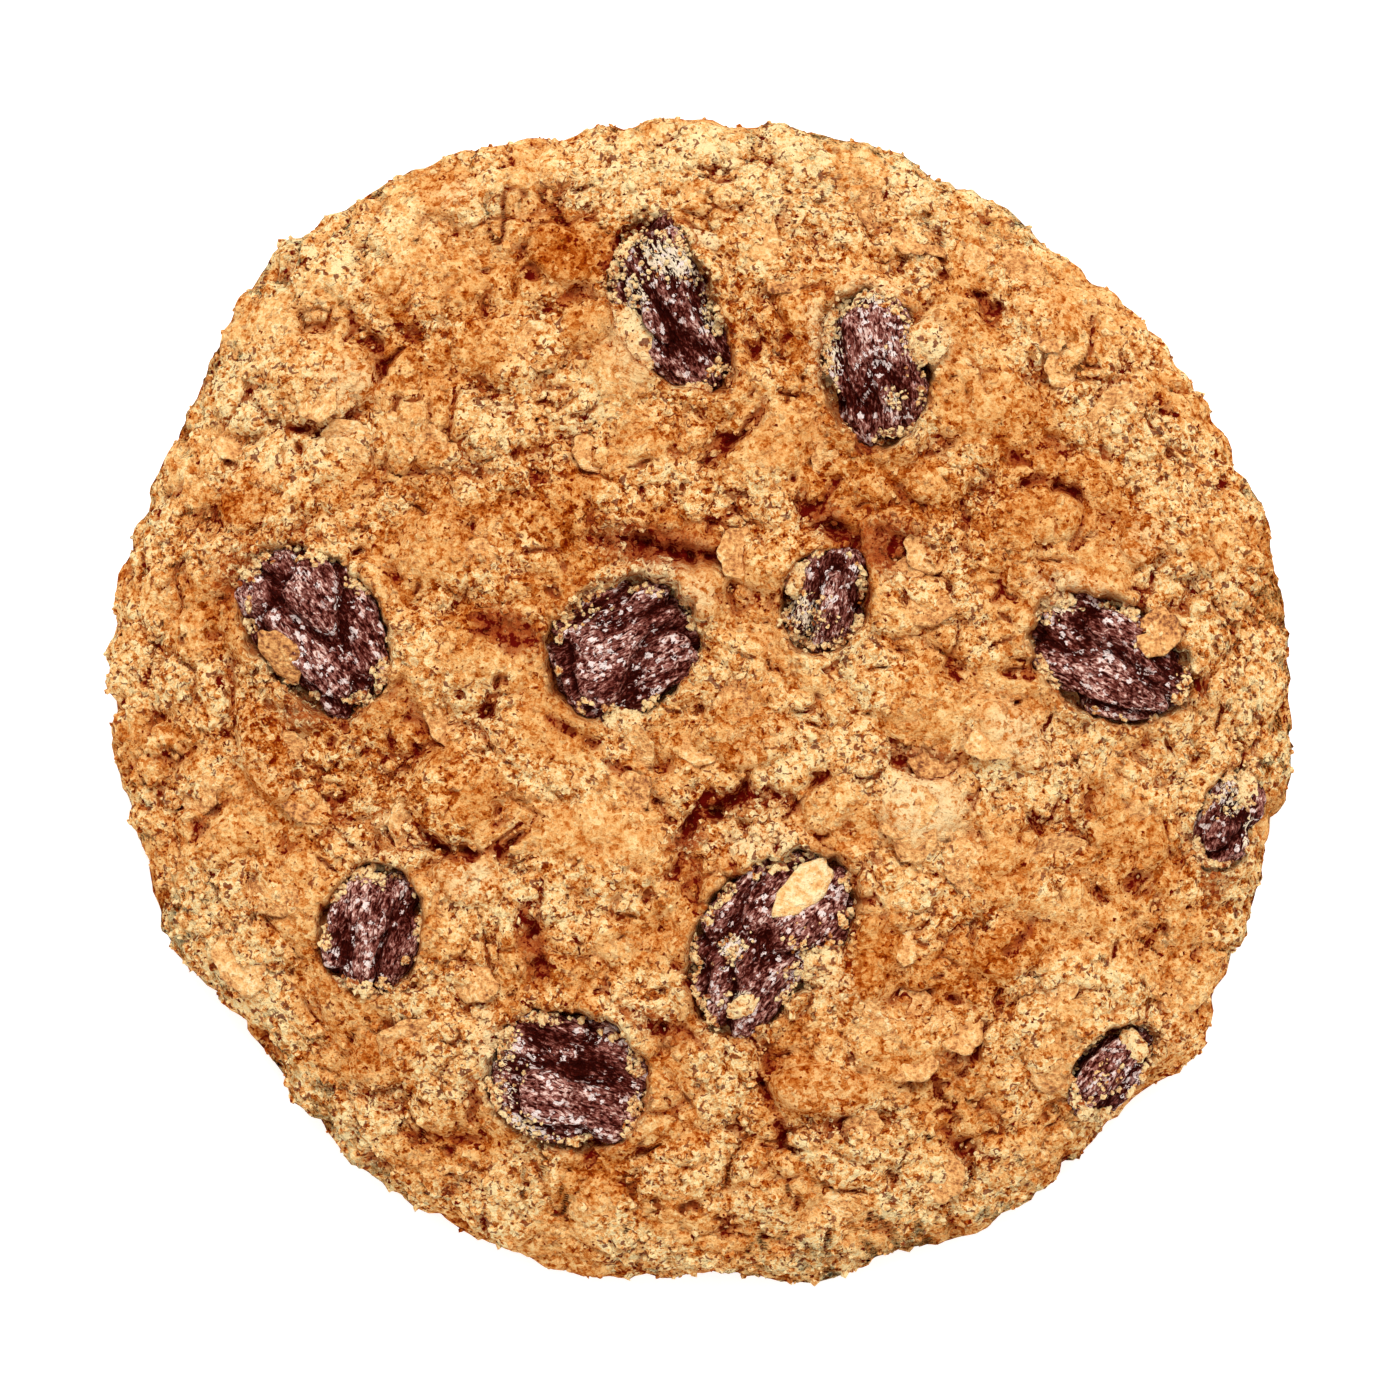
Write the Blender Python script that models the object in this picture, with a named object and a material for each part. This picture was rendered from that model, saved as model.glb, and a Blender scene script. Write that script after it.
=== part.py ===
"""An oatmeal raisin cookie: one baked round of oat dough with eleven raisins set in it.

The dough is a single solid. Its crust carries the cookie's relief: the lumps and creases that
can be told apart one by one, the crumb between them, and a raised lip around each raisin.
Each raisin is a wrinkled solid of its own in a socket that fits it with a hair of clearance.

Sizes are in millimetres in the cookie's own frame: X to the right, Y to the back, Z up, with
the origin under the middle of the cookie on the surface that it lies on. The meshes are scaled
to metres as they are written.
"""

import math

import bmesh
import bpy
import numpy as np
from mathutils import Matrix, Vector, noise

MM = 0.001

# The round of dough.
MEAN_RADIUS = 41.85
CENTRE_HEIGHT = 11.2
SHOULDER_HEIGHT = 8.6
WIDEST_HEIGHT = 3.4
RIM_SQUARENESS = 6.5
TUCK_SQUARENESS = 11.0
UNDERSIDE_SHARE = 0.10
BASE_TRIM = 0.35
FINE_SUBDIVISIONS = 7
DOUGH_KEPT_SHARE = 0.097

# Where the edge swells or draws in: heading from the middle in degrees, change, half-width.
EDGE_SWELLS = (
    (3, 0.9, 7),
    (15, 0.4, 8),
    (65, -0.8, 26),
    (131, 1.9, 16),
    (172, 0.4, 16),
    (223, -1.7, 18),
    (262, -0.1, 14),
    (301, 0.8, 16),
    (324, 1.9, 4.5),
    (334, 0.5, 6),
)
EDGE_CRUMBLE = 0.45
EDGE_CRUMBLES = 5.5

# Shares of the radius over which the crust's own relief gives way to the rim's, and the rim's
# to the flat underside.
CRUST_FADE = (0.90, 0.995)
UNDERSIDE_FADE = (0.88, 0.99)

# The crumb: how far apart its lumps, pebbles and grains are, and how far they stand up.
SWELL_SIZE, SWELL_RISE = 13.0, 0.45
LUMP_SIZE, LUMP_RISE = 6.4, 0.85
PEBBLE_SIZE, PEBBLE_RISE = 2.9, 0.55
GRAIN_MEAN = 0.55
GRAIN_GAP = 0.45
WARP_SIZE, WARP_REACH = 4.5, 1.3
LUMP_CALM = 0.6

# Lumps that can be told apart: x, y, length, width, turn in degrees, rise.
LUMPS = (
    (-27.0, 23.2, 8.8, 6.0, -8, 1.0),
    (-19.3, 29.3, 9.4, 5.2, 0, 0.7),
    (-14.0, 25.0, 9.6, 4.8, -6, 0.6),
    (-8.2, 26.6, 4.2, 3.6, 20, 0.8),
    (-5.4, 23.3, 4.6, 5.4, 0, 0.9),
    (4.4, 17.4, 8.4, 3.8, 38, 0.8),
    (-2.8, 18.8, 6.2, 4.4, 0, 0.5),
    (-9.0, 14.0, 7.4, 4.6, -8, 0.6),
    (-18.0, 10.4, 7.0, 5.0, -30, 0.7),
    (5.4, 9.7, 7.0, 4.4, 12, 0.8),
    (-0.6, 7.6, 4.6, 4.4, 0, 0.9),
    (-18.4, 3.4, 7.6, 6.0, -30, 0.8),
    (-10.4, -2.8, 11.0, 6.2, -38, 0.8),
    (-17.4, -6.9, 7.4, 7.0, 0, 1.0),
    (-34.6, -10.6, 6.2, 4.6, 20, 0.6),
    (-7.0, -10.6, 11.2, 7.0, -6, 0.8),
    (3.0, -1.4, 8.2, 3.8, 20, 0.8),
    (15.6, -0.2, 8.2, 6.0, -12, 0.9),
    (15.6, -7.6, 6.8, 5.0, 14, 1.0),
    (28.2, 9.0, 6.2, 3.6, -20, 0.7),
    (23.4, 12.6, 8.0, 4.2, 6, 0.6),
    (35.2, 11.6, 6.0, 6.0, 0, 0.6),
    (14.8, -24.6, 8.2, 4.8, 14, 0.8),
    (25.8, -24.0, 6.4, 6.0, 0, 0.7),
    (12.0, -18.4, 8.6, 4.0, 62, 0.8),
    (33.6, -27.0, 5.0, 4.0, 40, 0.8),
    (21.6, -12.4, 9.0, 6.4, 20, 0.5),
    (30.8, -9.0, 7.0, 6.0, 0, 0.6),
    (20.0, 20.6, 9.0, 6.6, -20, 0.6),
    (-26.6, 15.6, 8.0, 5.2, 10, 0.6),
)
LUMP_EDGE_WANDER = 0.2
LUMP_WANDER_SIZE = 2.2
LUMP_FLATNESS = 2.6
LUMP_STEEPNESS = 0.6

# Oat flakes that lie bare on the crust, in the same order. Each is flat, with a crisp edge.
FLAKES = (
    (-17.5, 36.3, 5.0, 3.6, 16, 0.6),
    (22.1, -2.5, 6.2, 3.4, -46, 0.8),
    (31.4, 11.4, 3.8, 3.2, 60, 0.8),
    (-30.8, -3.8, 7.2, 3.4, -72, 0.8),
    (-16.2, -12.7, 5.0, 3.6, -10, 0.8),
    (8.6, -27.6, 7.0, 3.6, -6, 0.9),
    (14.6, 24.9, 3.8, 3.2, 40, 0.9),
    (4.0, -2.9, 5.6, 3.4, 24, 0.7),
    (34.6, -24.4, 4.4, 3.2, 62, 0.5),
    (-9.8, 31.6, 5.2, 3.6, -34, 0.5),
    (21.8, -17.8, 5.2, 3.8, 12, 0.5),
    (-32.2, 14.4, 5.0, 3.6, 70, 0.5),
    (24.6, 27.6, 5.2, 3.8, -38, 0.5),
    (-22.4, -25.6, 5.0, 3.6, 34, 0.5),
)
FLAKE_EDGE = 0.16

# Creases, each a shallow arc: x, y of the chord's middle, length, heading in degrees, bulge to
# the left of the heading, depth, half-width.
CREASES = (
    (-27.9, 21.8, 10.1, -8, -2.7, 1.3, 0.45),
    (-23.5, 24.0, 6.1, 102, -1.0, 0.9, 0.40),
    (-3.4, 31.3, 8.2, 16, 2.2, 1.2, 0.50),
    (-14.7, 33.2, 9.6, -14, -0.6, 0.6, 0.50),
    (20.0, 28.3, 6.1, -19, 0.0, 0.6, 0.45),
    (2.3, 18.7, 8.6, 45, -0.4, 0.9, 0.45),
    (-2.5, 10.7, 11.7, -12, 0.0, 1.4, 0.65),
    (1.8, 12.8, 4.6, 39, 0.0, 0.8, 0.45),
    (9.3, 10.3, 9.4, -57, 1.1, 1.6, 0.60),
    (14.1, 10.7, 4.6, -28, 0.0, 1.0, 0.90),
    (-13.7, 4.8, 6.3, -31, 0.0, 0.9, 1.10),
    (-14.7, 0.1, 3.7, 66, 0.0, 1.4, 0.45),
    (-19.6, -3.2, 2.7, 12, 0.0, 1.1, 0.45),
    (-16.6, -8.2, 9.2, -8, -2.8, 1.1, 0.45),
    (-14.3, -7.0, 4.5, -86, 0.0, 0.8, 0.40),
    (-7.6, -4.5, 16.4, -39, 1.1, 0.8, 0.45),
    (3.0, -8.9, 8.6, 14, 2.1, 1.4, 0.75),
    (-2.7, -12.4, 5.5, 55, -0.3, 1.0, 0.45),
    (-11.7, -17.5, 6.4, -79, 0.0, 1.0, 0.60),
    (0.9, -21.4, 9.0, -50, -0.9, 1.1, 0.50),
    (-2.9, -23.3, 9.2, -21, 0.3, 0.8, 0.45),
    (5.2, -29.2, 8.8, -70, 0.0, 1.0, 0.45),
    (9.7, -30.0, 5.4, -6, 0.0, 0.9, 0.45),
    (16.2, -3.1, 6.3, 13, -1.9, 1.3, 0.50),
    (24.5, 14.6, 6.1, -3, 1.0, 0.9, 0.45),
    (16.2, -21.9, 8.3, -5, 0.9, 0.8, 0.45),
    (18.4, -25.2, 7.1, 56, -0.7, 0.9, 0.45),
    (19.0, -31.7, 6.0, -33, 0.0, 0.8, 0.45),
    (-34.7, -8.4, 5.1, 45, 0.4, 0.8, 0.40),
    (22.7, -16.7, 3.6, 45, 0.0, 1.0, 0.50),
)
CREASE_WANDER, CREASE_WANDER_SIZE = 0.5, 2.6

# Raisins: x, y, length, width, thickness, turn, tilt and roll in degrees, bend of the long
# axis, depth of the middle under the crust, and the share of its outline that shows.
RAISINS = {
    "raisin_01": (-2.1, 27.9, 12.8, 7.2, 5.2, -66, 5, 0, 1.1, 1.5, 0.93),
    "raisin_02": (12.3, 23.6, 11.0, 7.4, 5.4, -81, 0, 6, 0.0, 1.6, 0.93),
    "raisin_03": (-27.4, 5.0, 13.1, 8.8, 5.6, -53, -4, 4, -0.5, 1.7, 0.94),
    "raisin_04": (-5.5, 3.7, 11.0, 9.6, 5.6, 28, 4, -4, 0.0, 1.7, 0.93),
    "raisin_05": (8.8, 7.0, 8.0, 6.4, 5.0, 76, -10, 10, 0.0, 1.9, 0.86),
    "raisin_06": (29.0, 3.0, 12.2, 8.0, 5.4, -29, -4, 4, 0.4, 1.6, 0.94),
    "raisin_07": (37.6, -8.6, 7.8, 4.8, 3.8, 70, 2, 32, 0.5, 0.9, 0.90),
    "raisin_08": (-23.3, -16.3, 9.2, 7.2, 5.0, 76, 6, 0, 0.0, 1.6, 0.92),
    "raisin_09": (4.9, -17.0, 14.5, 8.8, 5.6, 49, 4, 0, -0.9, 1.6, 0.94),
    "raisin_10": (-9.4, -26.9, 11.3, 9.4, 5.6, -20, 4, -4, 0.0, 1.7, 0.94),
    "raisin_11": (29.4, -26.4, 8.0, 5.0, 4.0, 52, 2, 24, -0.4, 0.9, 0.90),
}
RAISIN_SQUARENESS = 2.5
RAISIN_FINE_SUBDIVISIONS = 5
RAISIN_KEPT_SHARE = 0.061
WRINKLE_DEPTH = 0.85
WRINKLE_SPACING = 2.9
WRINKLE_STRETCH = 0.38
WRINKLE_SHARPNESS = 0.30
DENT_SIZE, DENT_DEPTH = 4.4, 0.75
BEND_ZERO = 0.4
SOCKET_GAP = 0.42
SOCKET_SUBDIVISIONS = 3
SOCKET_KEPT_SHARE = 0.45

# The crust round a raisin. The reaches are shares of the raisin's outline.
BED_DEPTH = 0.35
BED_EDGE = 1.17
LIP_RISE = 0.55
LIP_REACH, LIP_WIDTH = 1.22, 0.16
PRESSED_REACH = 1.64

# The slab that trims the underside flat: its width and height.
SLAB_WIDTH, SLAB_HEIGHT = 120.0, 10.0

DOUGH_COLOUR = (0.60, 0.27, 0.085, 1.0)
RAISIN_COLOUR = (0.055, 0.018, 0.016, 1.0)


def clear_scene():
    for obj in list(bpy.data.objects):
        bpy.data.objects.remove(obj, do_unlink=True)


def smooth_step(low, high, value):
    """0 below low, 1 above high and an even S between them."""
    share = np.clip((value - low) / (high - low), 0.0, 1.0)
    return share * share * (3.0 - 2.0 * share)


def noise_at(points, size, seed):
    """Smooth noise from about -1 to 1 whose swells are size apart, one value for each point."""
    shift = Vector((seed * 17.3, seed * 5.9, seed * 11.1))
    return np.array([noise.noise(Vector(point) / size + shift) for point in points])


def pebbles_at(points, size, seed):
    """Rounded grains packed side by side: near 1 on a grain's crown, 0 in the crease between."""
    shift = Vector((seed * 7.7, seed * 13.1, seed * 3.3))
    heights = []
    for point in points:
        nearest, second = noise.voronoi(Vector(point) / size + shift)[0][:2]
        crease = min(1.0, (second - nearest) / GRAIN_GAP)
        heights.append((1.0 - nearest * nearest) * math.sqrt(crease * (2.0 - crease)))
    return np.array(heights)


def edge_radius(headings):
    """How far the cookie's edge is from its middle, at headings in radians."""
    degrees = np.degrees(headings)
    radius = np.full_like(degrees, MEAN_RADIUS)
    for centre, change, half_width in EDGE_SWELLS:
        away = (degrees - centre + 180.0) % 360.0 - 180.0
        radius += change * np.exp(-((away / half_width) ** 2))
    ring = np.stack([np.cos(headings), np.sin(headings), 0 * headings], axis=1)
    return radius + EDGE_CRUMBLE * noise_at(ring * EDGE_CRUMBLES, 1.0, 4)


def crown_height(share):
    """Height of the smooth crust at a share of the way from the middle to the edge."""
    dome = SHOULDER_HEIGHT + (CENTRE_HEIGHT - SHOULDER_HEIGHT) * (1.0 - share**2)
    return WIDEST_HEIGHT + (dome - WIDEST_HEIGHT) * np.sqrt(1.0 - share**RIM_SQUARENESS)


def tuck_height(share):
    """Height of the underside, flat until it turns up into the rim."""
    return WIDEST_HEIGHT * (1.0 - np.sqrt(1.0 - share**TUCK_SQUARENESS))


def profile():
    """The cookie's half section from the crown to the middle of its underside.

    It returns the share of the radius and the height along it, and for each point how much of
    the surface lies before it, so that a mesh can be spread evenly over the cookie.
    """
    turn = np.linspace(0.0, math.pi / 2, 400)
    out = np.sin(turn) ** (2.0 / RIM_SQUARENESS)
    share = np.concatenate([np.linspace(0, out[1], 60)[:-1], out[1:]])
    back = (np.sin(turn) ** (2.0 / TUCK_SQUARENESS))[::-1]
    under = np.concatenate([back[:-1], np.linspace(back[-2], 0.0, 60)[1:]])
    heights = np.concatenate([crown_height(share), tuck_height(under)])
    shares = np.concatenate([share, under])
    weight = np.concatenate([np.ones(len(share)), np.full(len(under), UNDERSIDE_SHARE)])
    steps = np.hypot(np.diff(shares) * MEAN_RADIUS, np.diff(heights))
    rings = (shares[1:] + shares[:-1]) / 2 * steps * weight[1:]
    covered = np.concatenate([[0.0], np.cumsum(rings)]) / rings.sum()
    return shares, heights, covered


def in_ellipse(x, y, centre_x, centre_y, length, width, turn):
    """Place along and across an ellipse, as shares of its half-length and half-width."""
    angle = math.radians(turn)
    along = (x - centre_x) * math.cos(angle) + (y - centre_y) * math.sin(angle)
    across = (y - centre_y) * math.cos(angle) - (x - centre_x) * math.sin(angle)
    return along * 2 / length, across * 2 / width


def named_lumps(x, y, wander):
    """Height of the lumps that can be told apart, each a low dome with a steep edge."""
    height = np.zeros_like(x)
    for centre_x, centre_y, length, width, turn, rise in LUMPS:
        along, across = in_ellipse(x, y, centre_x, centre_y, length, width, turn)
        reach = np.hypot(along, across) * (1.0 + LUMP_EDGE_WANDER * wander)
        dome = rise * np.clip(1.0 - reach**LUMP_FLATNESS, 0.0, 1.0) ** LUMP_STEEPNESS
        height = np.maximum(height, dome)
    return height


def named_flakes(x, y):
    """Height of the oat flakes, each a flat plate whose edge drops off within its own rim."""
    height = np.zeros_like(x)
    for centre_x, centre_y, length, width, turn, rise in FLAKES:
        along, across = in_ellipse(x, y, centre_x, centre_y, length, width, turn)
        reach = np.hypot(along, across)
        plate = rise * (1.0 - smooth_step(1.0 - FLAKE_EDGE, 1.0 + FLAKE_EDGE, reach))
        height = np.maximum(height, plate)
    return height


def creases(x, y):
    """Depth of the creases, each a groove along a shallow arc that fades out at its ends."""
    depth = np.zeros_like(x)
    for mid_x, mid_y, length, heading, bulge, deep, half_width in CREASES:
        along, across = in_ellipse(x, y, mid_x, mid_y, length, 2.0, heading)
        arc = bulge * (1.0 - along**2)
        slope = 4.0 * bulge * along / length
        away = np.abs(across - arc) / np.sqrt(1.0 + slope**2)
        fade = np.clip(1.0 - along**4, 0.0, 1.0)
        depth = np.maximum(depth, deep * fade * np.exp(-((away / half_width) ** 2)))
    return depth


def crust_height(x, y):
    """The crust's height without its fine crumb, which is what a raisin is sunk into."""
    headings = np.arctan2(y, x)
    share = np.minimum(np.hypot(x, y) / edge_radius(headings), 0.999)
    flat = np.stack([x, y, 0 * x], axis=1)
    return crown_height(share) + SWELL_RISE * noise_at(flat, SWELL_SIZE, 1)


def raisin_middle(name):
    """The middle of a raisin, under the crust above it."""
    x, y = RAISINS[name][:2]
    sink = RAISINS[name][9]
    return Vector((x, y, float(crust_height(np.array([x]), np.array([y]))[0]) - sink))


def press_in_raisins(x, y, height):
    """Lowers the crust to a bed under each raisin and raises a lip round what shows of it."""
    for name, (mid_x, mid_y, length, width, _, turn, *_, bend, _, shows) in RAISINS.items():
        along, across = in_ellipse(x, y, mid_x, mid_y, length, width, turn)
        across = across - bend * (along**2 - BEND_ZERO) * 2 / width
        reach = np.hypot(along, across) / shows
        lip = LIP_RISE * np.exp(-(((reach - LIP_REACH) / LIP_WIDTH) ** 2))
        bed = raisin_middle(name).z - BED_DEPTH
        rim = smooth_step(1.0, BED_EDGE, reach)
        eased = height * rim + bed * (1.0 - rim)
        height = np.where(reach < PRESSED_REACH, eased + lip, height)
    return height


def crumb(points, smooth):
    """Relief of the crumb on the crust and the rim, calmer where a smooth lump covers it."""
    warp = np.stack([noise_at(points, WARP_SIZE, seed) for seed in (6, 7, 8)], axis=1)
    warped = points + WARP_REACH * warp
    lumps = LUMP_RISE * (pebbles_at(warped, LUMP_SIZE, 2) - GRAIN_MEAN)
    pebbles = PEBBLE_RISE * (pebbles_at(warped, PEBBLE_SIZE, 3) - GRAIN_MEAN)
    return (lumps + pebbles) * (1.0 - LUMP_CALM * smooth)


def dough_points(directions):
    """Where each direction of a unit sphere lands on the cookie's surface."""
    shares, heights, covered = profile()
    before = (1.0 - directions[:, 2]) / 2
    share = np.interp(before, covered, shares)
    under = before > covered[np.argmax(shares)]
    headings = np.arctan2(directions[:, 1], directions[:, 0])
    radius = edge_radius(headings)
    x = radius * share * np.cos(headings)
    y = radius * share * np.sin(headings)
    z = np.interp(before, covered, heights)

    flat = np.stack([x, y, 0 * x], axis=1)
    on_top = np.where(under, 0.0, 1.0 - smooth_step(*CRUST_FADE, share))
    wander = noise_at(flat, LUMP_WANDER_SIZE, 5)
    flakes = named_flakes(x, y)
    lumps = np.maximum(named_lumps(x, y, wander), flakes) * on_top
    smooth = np.clip(lumps + flakes, 0.0, 1.0)
    relief = crumb(np.stack([x, y, z], axis=1), smooth)
    x_off = CREASE_WANDER * noise_at(flat, CREASE_WANDER_SIZE, 9)
    y_off = CREASE_WANDER * noise_at(flat, CREASE_WANDER_SIZE, 10)
    grooves = creases(x + x_off, y + y_off) * on_top
    swell = SWELL_RISE * noise_at(flat, SWELL_SIZE, 1) * on_top
    top = z + swell + (relief + lumps) * on_top - grooves
    top = np.where(on_top > 0.3, press_in_raisins(x, y, top), top)

    outward = relief * (1.0 - on_top) * np.where(under, smooth_step(*UNDERSIDE_FADE, share), 1.0)
    x = x + outward * np.cos(headings)
    y = y + outward * np.sin(headings)
    return np.stack([x, y, np.where(under, z, top) - BASE_TRIM], axis=1)


def mesh_from_sphere(name, subdivisions, place):
    """A mesh made by moving the points of an even sphere to where place puts them, in mm."""
    shape = bmesh.new()
    bmesh.ops.create_icosphere(shape, subdivisions=subdivisions, radius=1.0)
    directions = np.array([vert.co.normalized() for vert in shape.verts])
    for vert, point in zip(shape.verts, place(directions)):
        vert.co = point
    bmesh.ops.scale(shape, vec=(MM, MM, MM), verts=shape.verts)
    bmesh.ops.recalc_face_normals(shape, faces=shape.faces)
    mesh = bpy.data.meshes.new(name)
    shape.to_mesh(mesh)
    shape.free()
    return mesh


def plain_material(name, colour, roughness):
    material = bpy.data.materials.new(name)
    material.use_nodes = True
    shader = material.node_tree.nodes["Principled BSDF"]
    shader.inputs["Base Color"].default_value = colour
    shader.inputs["Roughness"].default_value = roughness
    shader.inputs["Metallic"].default_value = 0.0
    return material


def add_object(name, mesh, kept_share):
    """An object in the scene, with its fine mesh thinned where the surface is plain."""
    obj = bpy.data.objects.new(name, mesh)
    bpy.context.scene.collection.objects.link(obj)
    thin = obj.modifiers.new("thin out plain areas", "DECIMATE")
    thin.ratio = kept_share
    return obj


def raisin_points(name, fold_depth, gap):
    """A function that puts a sphere's directions on this raisin's skin, or a gap outside it."""
    _, _, length, width, thickness, turn, tilt, roll, bend, _, _ = RAISINS[name]
    seed = int(name[-2:]) + 20
    half = np.array([length, width, thickness]) / 2
    turned = (
        Matrix.Rotation(math.radians(turn), 3, "Z")
        @ Matrix.Rotation(math.radians(tilt), 3, "Y")
        @ Matrix.Rotation(math.radians(roll), 3, "X")
    )
    middle = np.array(raisin_middle(name)) - np.array([0, 0, BASE_TRIM])

    def place(directions):
        square = (np.abs(directions) ** RAISIN_SQUARENESS).sum(axis=1, keepdims=True)
        body = directions / square ** (1 / RAISIN_SQUARENESS) * half
        dents = DENT_DEPTH * noise_at(body, DENT_SIZE, seed)
        stretched = body * np.array([WRINKLE_STRETCH, 1.0, 1.0])
        wave = noise_at(stretched + dents[:, None], WRINKLE_SPACING, seed + 1)
        folds = fold_depth * (1.0 - smooth_step(0.0, WRINKLE_SHARPNESS, np.abs(wave)))
        body = body + directions * (dents - folds + gap)[:, None]
        body[:, 1] += bend * ((body[:, 0] / half[0]) ** 2 - BEND_ZERO)
        return body @ np.array(turned).T + middle

    return place


def make_raisin(name, material):
    skin = raisin_points(name, WRINKLE_DEPTH, 0.0)
    mesh = mesh_from_sphere(name, RAISIN_FINE_SUBDIVISIONS, skin)
    mesh.materials.append(material)
    mesh.shade_smooth()
    add_object(name, mesh, RAISIN_KEPT_SHARE)


def add_helper(name, mesh, cutters):
    """A cutter: it is in its own collection, never renders, and is drawn as a wire."""
    obj = bpy.data.objects.new(name, mesh)
    cutters.objects.link(obj)
    obj.hide_render = True
    obj.display_type = "WIRE"
    return obj


def make_socket_cutter(name, cutters):
    """The raisin's shape without its folds, larger by the gap that it has in its socket."""
    skin = raisin_points(name, 0.0, SOCKET_GAP)
    mesh = mesh_from_sphere(f"{name}_socket", SOCKET_SUBDIVISIONS, skin)
    cutter = add_helper(f"{name}_socket", mesh, cutters)
    thin = cutter.modifiers.new("thin out plain areas", "DECIMATE")
    thin.ratio = SOCKET_KEPT_SHARE


def make_base_cutter(cutters):
    """A slab below the cookie, whose top face leaves the underside flat."""
    shape = bmesh.new()
    bmesh.ops.create_cube(shape, size=1.0)
    bmesh.ops.scale(shape, vec=(SLAB_WIDTH, SLAB_WIDTH, SLAB_HEIGHT), verts=shape.verts)
    bmesh.ops.translate(shape, vec=(0, 0, -SLAB_HEIGHT / 2), verts=shape.verts)
    bmesh.ops.scale(shape, vec=(MM, MM, MM), verts=shape.verts)
    mesh = bpy.data.meshes.new("base_trim")
    shape.to_mesh(mesh)
    shape.free()
    return add_helper("base_trim", mesh, cutters)


def make_dough(material, cutters):
    mesh = mesh_from_sphere("dough", FINE_SUBDIVISIONS, dough_points)
    mesh.materials.append(material)
    mesh.shade_smooth()
    dough = add_object("dough", mesh, DOUGH_KEPT_SHARE)
    cut = dough.modifiers.new("sockets and flat base", "BOOLEAN")
    cut.operation = "DIFFERENCE"
    cut.operand_type = "COLLECTION"
    cut.collection = cutters
    cut.solver = "EXACT"


def main():
    clear_scene()
    cutters = bpy.data.collections.new("cutters")
    cutters.hide_render = True
    bpy.context.scene.collection.children.link(cutters)
    crust = plain_material("baked_oat_dough", DOUGH_COLOUR, 0.85)
    skin = plain_material("raisin_skin", RAISIN_COLOUR, 0.45)
    for name in RAISINS:
        make_raisin(name, skin)
        make_socket_cutter(name, cutters)
    make_base_cutter(cutters)
    make_dough(crust, cutters)


main()
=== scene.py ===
"""The looks of one oatmeal raisin cookie, in the order of its making: dough, raisins, crumbs, oats.

Sizes are in millimetres in the cookie's own frame and become metres as each mesh is written.
"""

import math

import bmesh
import bpy
import numpy as np
from mathutils import Matrix, Quaternion, Vector, noise


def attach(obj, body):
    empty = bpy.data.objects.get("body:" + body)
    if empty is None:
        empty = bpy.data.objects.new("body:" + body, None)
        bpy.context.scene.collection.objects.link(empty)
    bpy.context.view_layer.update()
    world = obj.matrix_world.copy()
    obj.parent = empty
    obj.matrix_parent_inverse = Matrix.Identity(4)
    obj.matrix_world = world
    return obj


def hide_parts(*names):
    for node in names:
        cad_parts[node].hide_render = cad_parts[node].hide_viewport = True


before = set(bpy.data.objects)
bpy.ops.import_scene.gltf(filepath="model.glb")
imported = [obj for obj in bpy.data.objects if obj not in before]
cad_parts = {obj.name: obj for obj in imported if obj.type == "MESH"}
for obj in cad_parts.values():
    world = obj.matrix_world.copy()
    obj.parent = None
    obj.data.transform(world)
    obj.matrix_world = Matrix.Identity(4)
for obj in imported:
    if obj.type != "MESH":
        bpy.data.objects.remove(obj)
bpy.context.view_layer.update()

# The round of dough
# A soft oat dough baked golden: a low dome with a craggy crust, a rounded crumbly rim and a
# flat underside browned by the tray. It is one fine mesh, moved out of an even sphere, with
# the same named lumps, flakes and creases as the solid that it stands for.
MM = 0.001
MEAN_RADIUS = 41.85
CENTRE_HEIGHT = 11.2
SHOULDER_HEIGHT = 8.6
WIDEST_HEIGHT = 3.4
RIM_SQUARENESS = 6.5
TUCK_SQUARENESS = 11.0
UNDERSIDE_SHARE = 0.05
BASE_TRIM = 0.35
DOUGH_SUBDIVISIONS = 8
DOUGH_KEPT_SHARE = 0.59

# Where the edge swells or draws in: heading in degrees, change, half-width.
EDGE_SWELLS = (
    (3, 0.9, 7),
    (15, 0.4, 8),
    (65, -0.8, 26),
    (131, 1.9, 16),
    (172, 0.4, 16),
    (223, -1.7, 18),
    (262, -0.1, 14),
    (301, 0.8, 16),
    (324, 1.9, 4.5),
    (334, 0.5, 6),
)
EDGE_CRUMBLE = 0.45
EDGE_CRUMBLES = 5.5

# The crumb: how far apart its lumps, pebbles and grains are, and how far they stand up.
SWELL_SIZE, SWELL_RISE = 13.0, 0.45
LUMP_SIZE, LUMP_RISE = 6.4, 0.85
PEBBLE_SIZE, PEBBLE_RISE = 2.9, 0.55
GRIT_SIZE, GRIT_RISE = 1.3, 0.30
GRAIN_SIZE, GRAIN_RISE = 0.75, 0.22
CRACK_SIZE, CRACK_DEPTH, CRACK_WIDTH = 3.4, 0.8, 0.09
PIT_SIZE, PIT_DEPTH, PIT_REACH = 1.9, 0.8, 0.19
SEAM_WIDTH = 0.34
WARP_SIZE, WARP_REACH = 4.5, 1.3
LUMP_CALM = 0.6
MEAN_PEBBLE = 0.55

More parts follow.
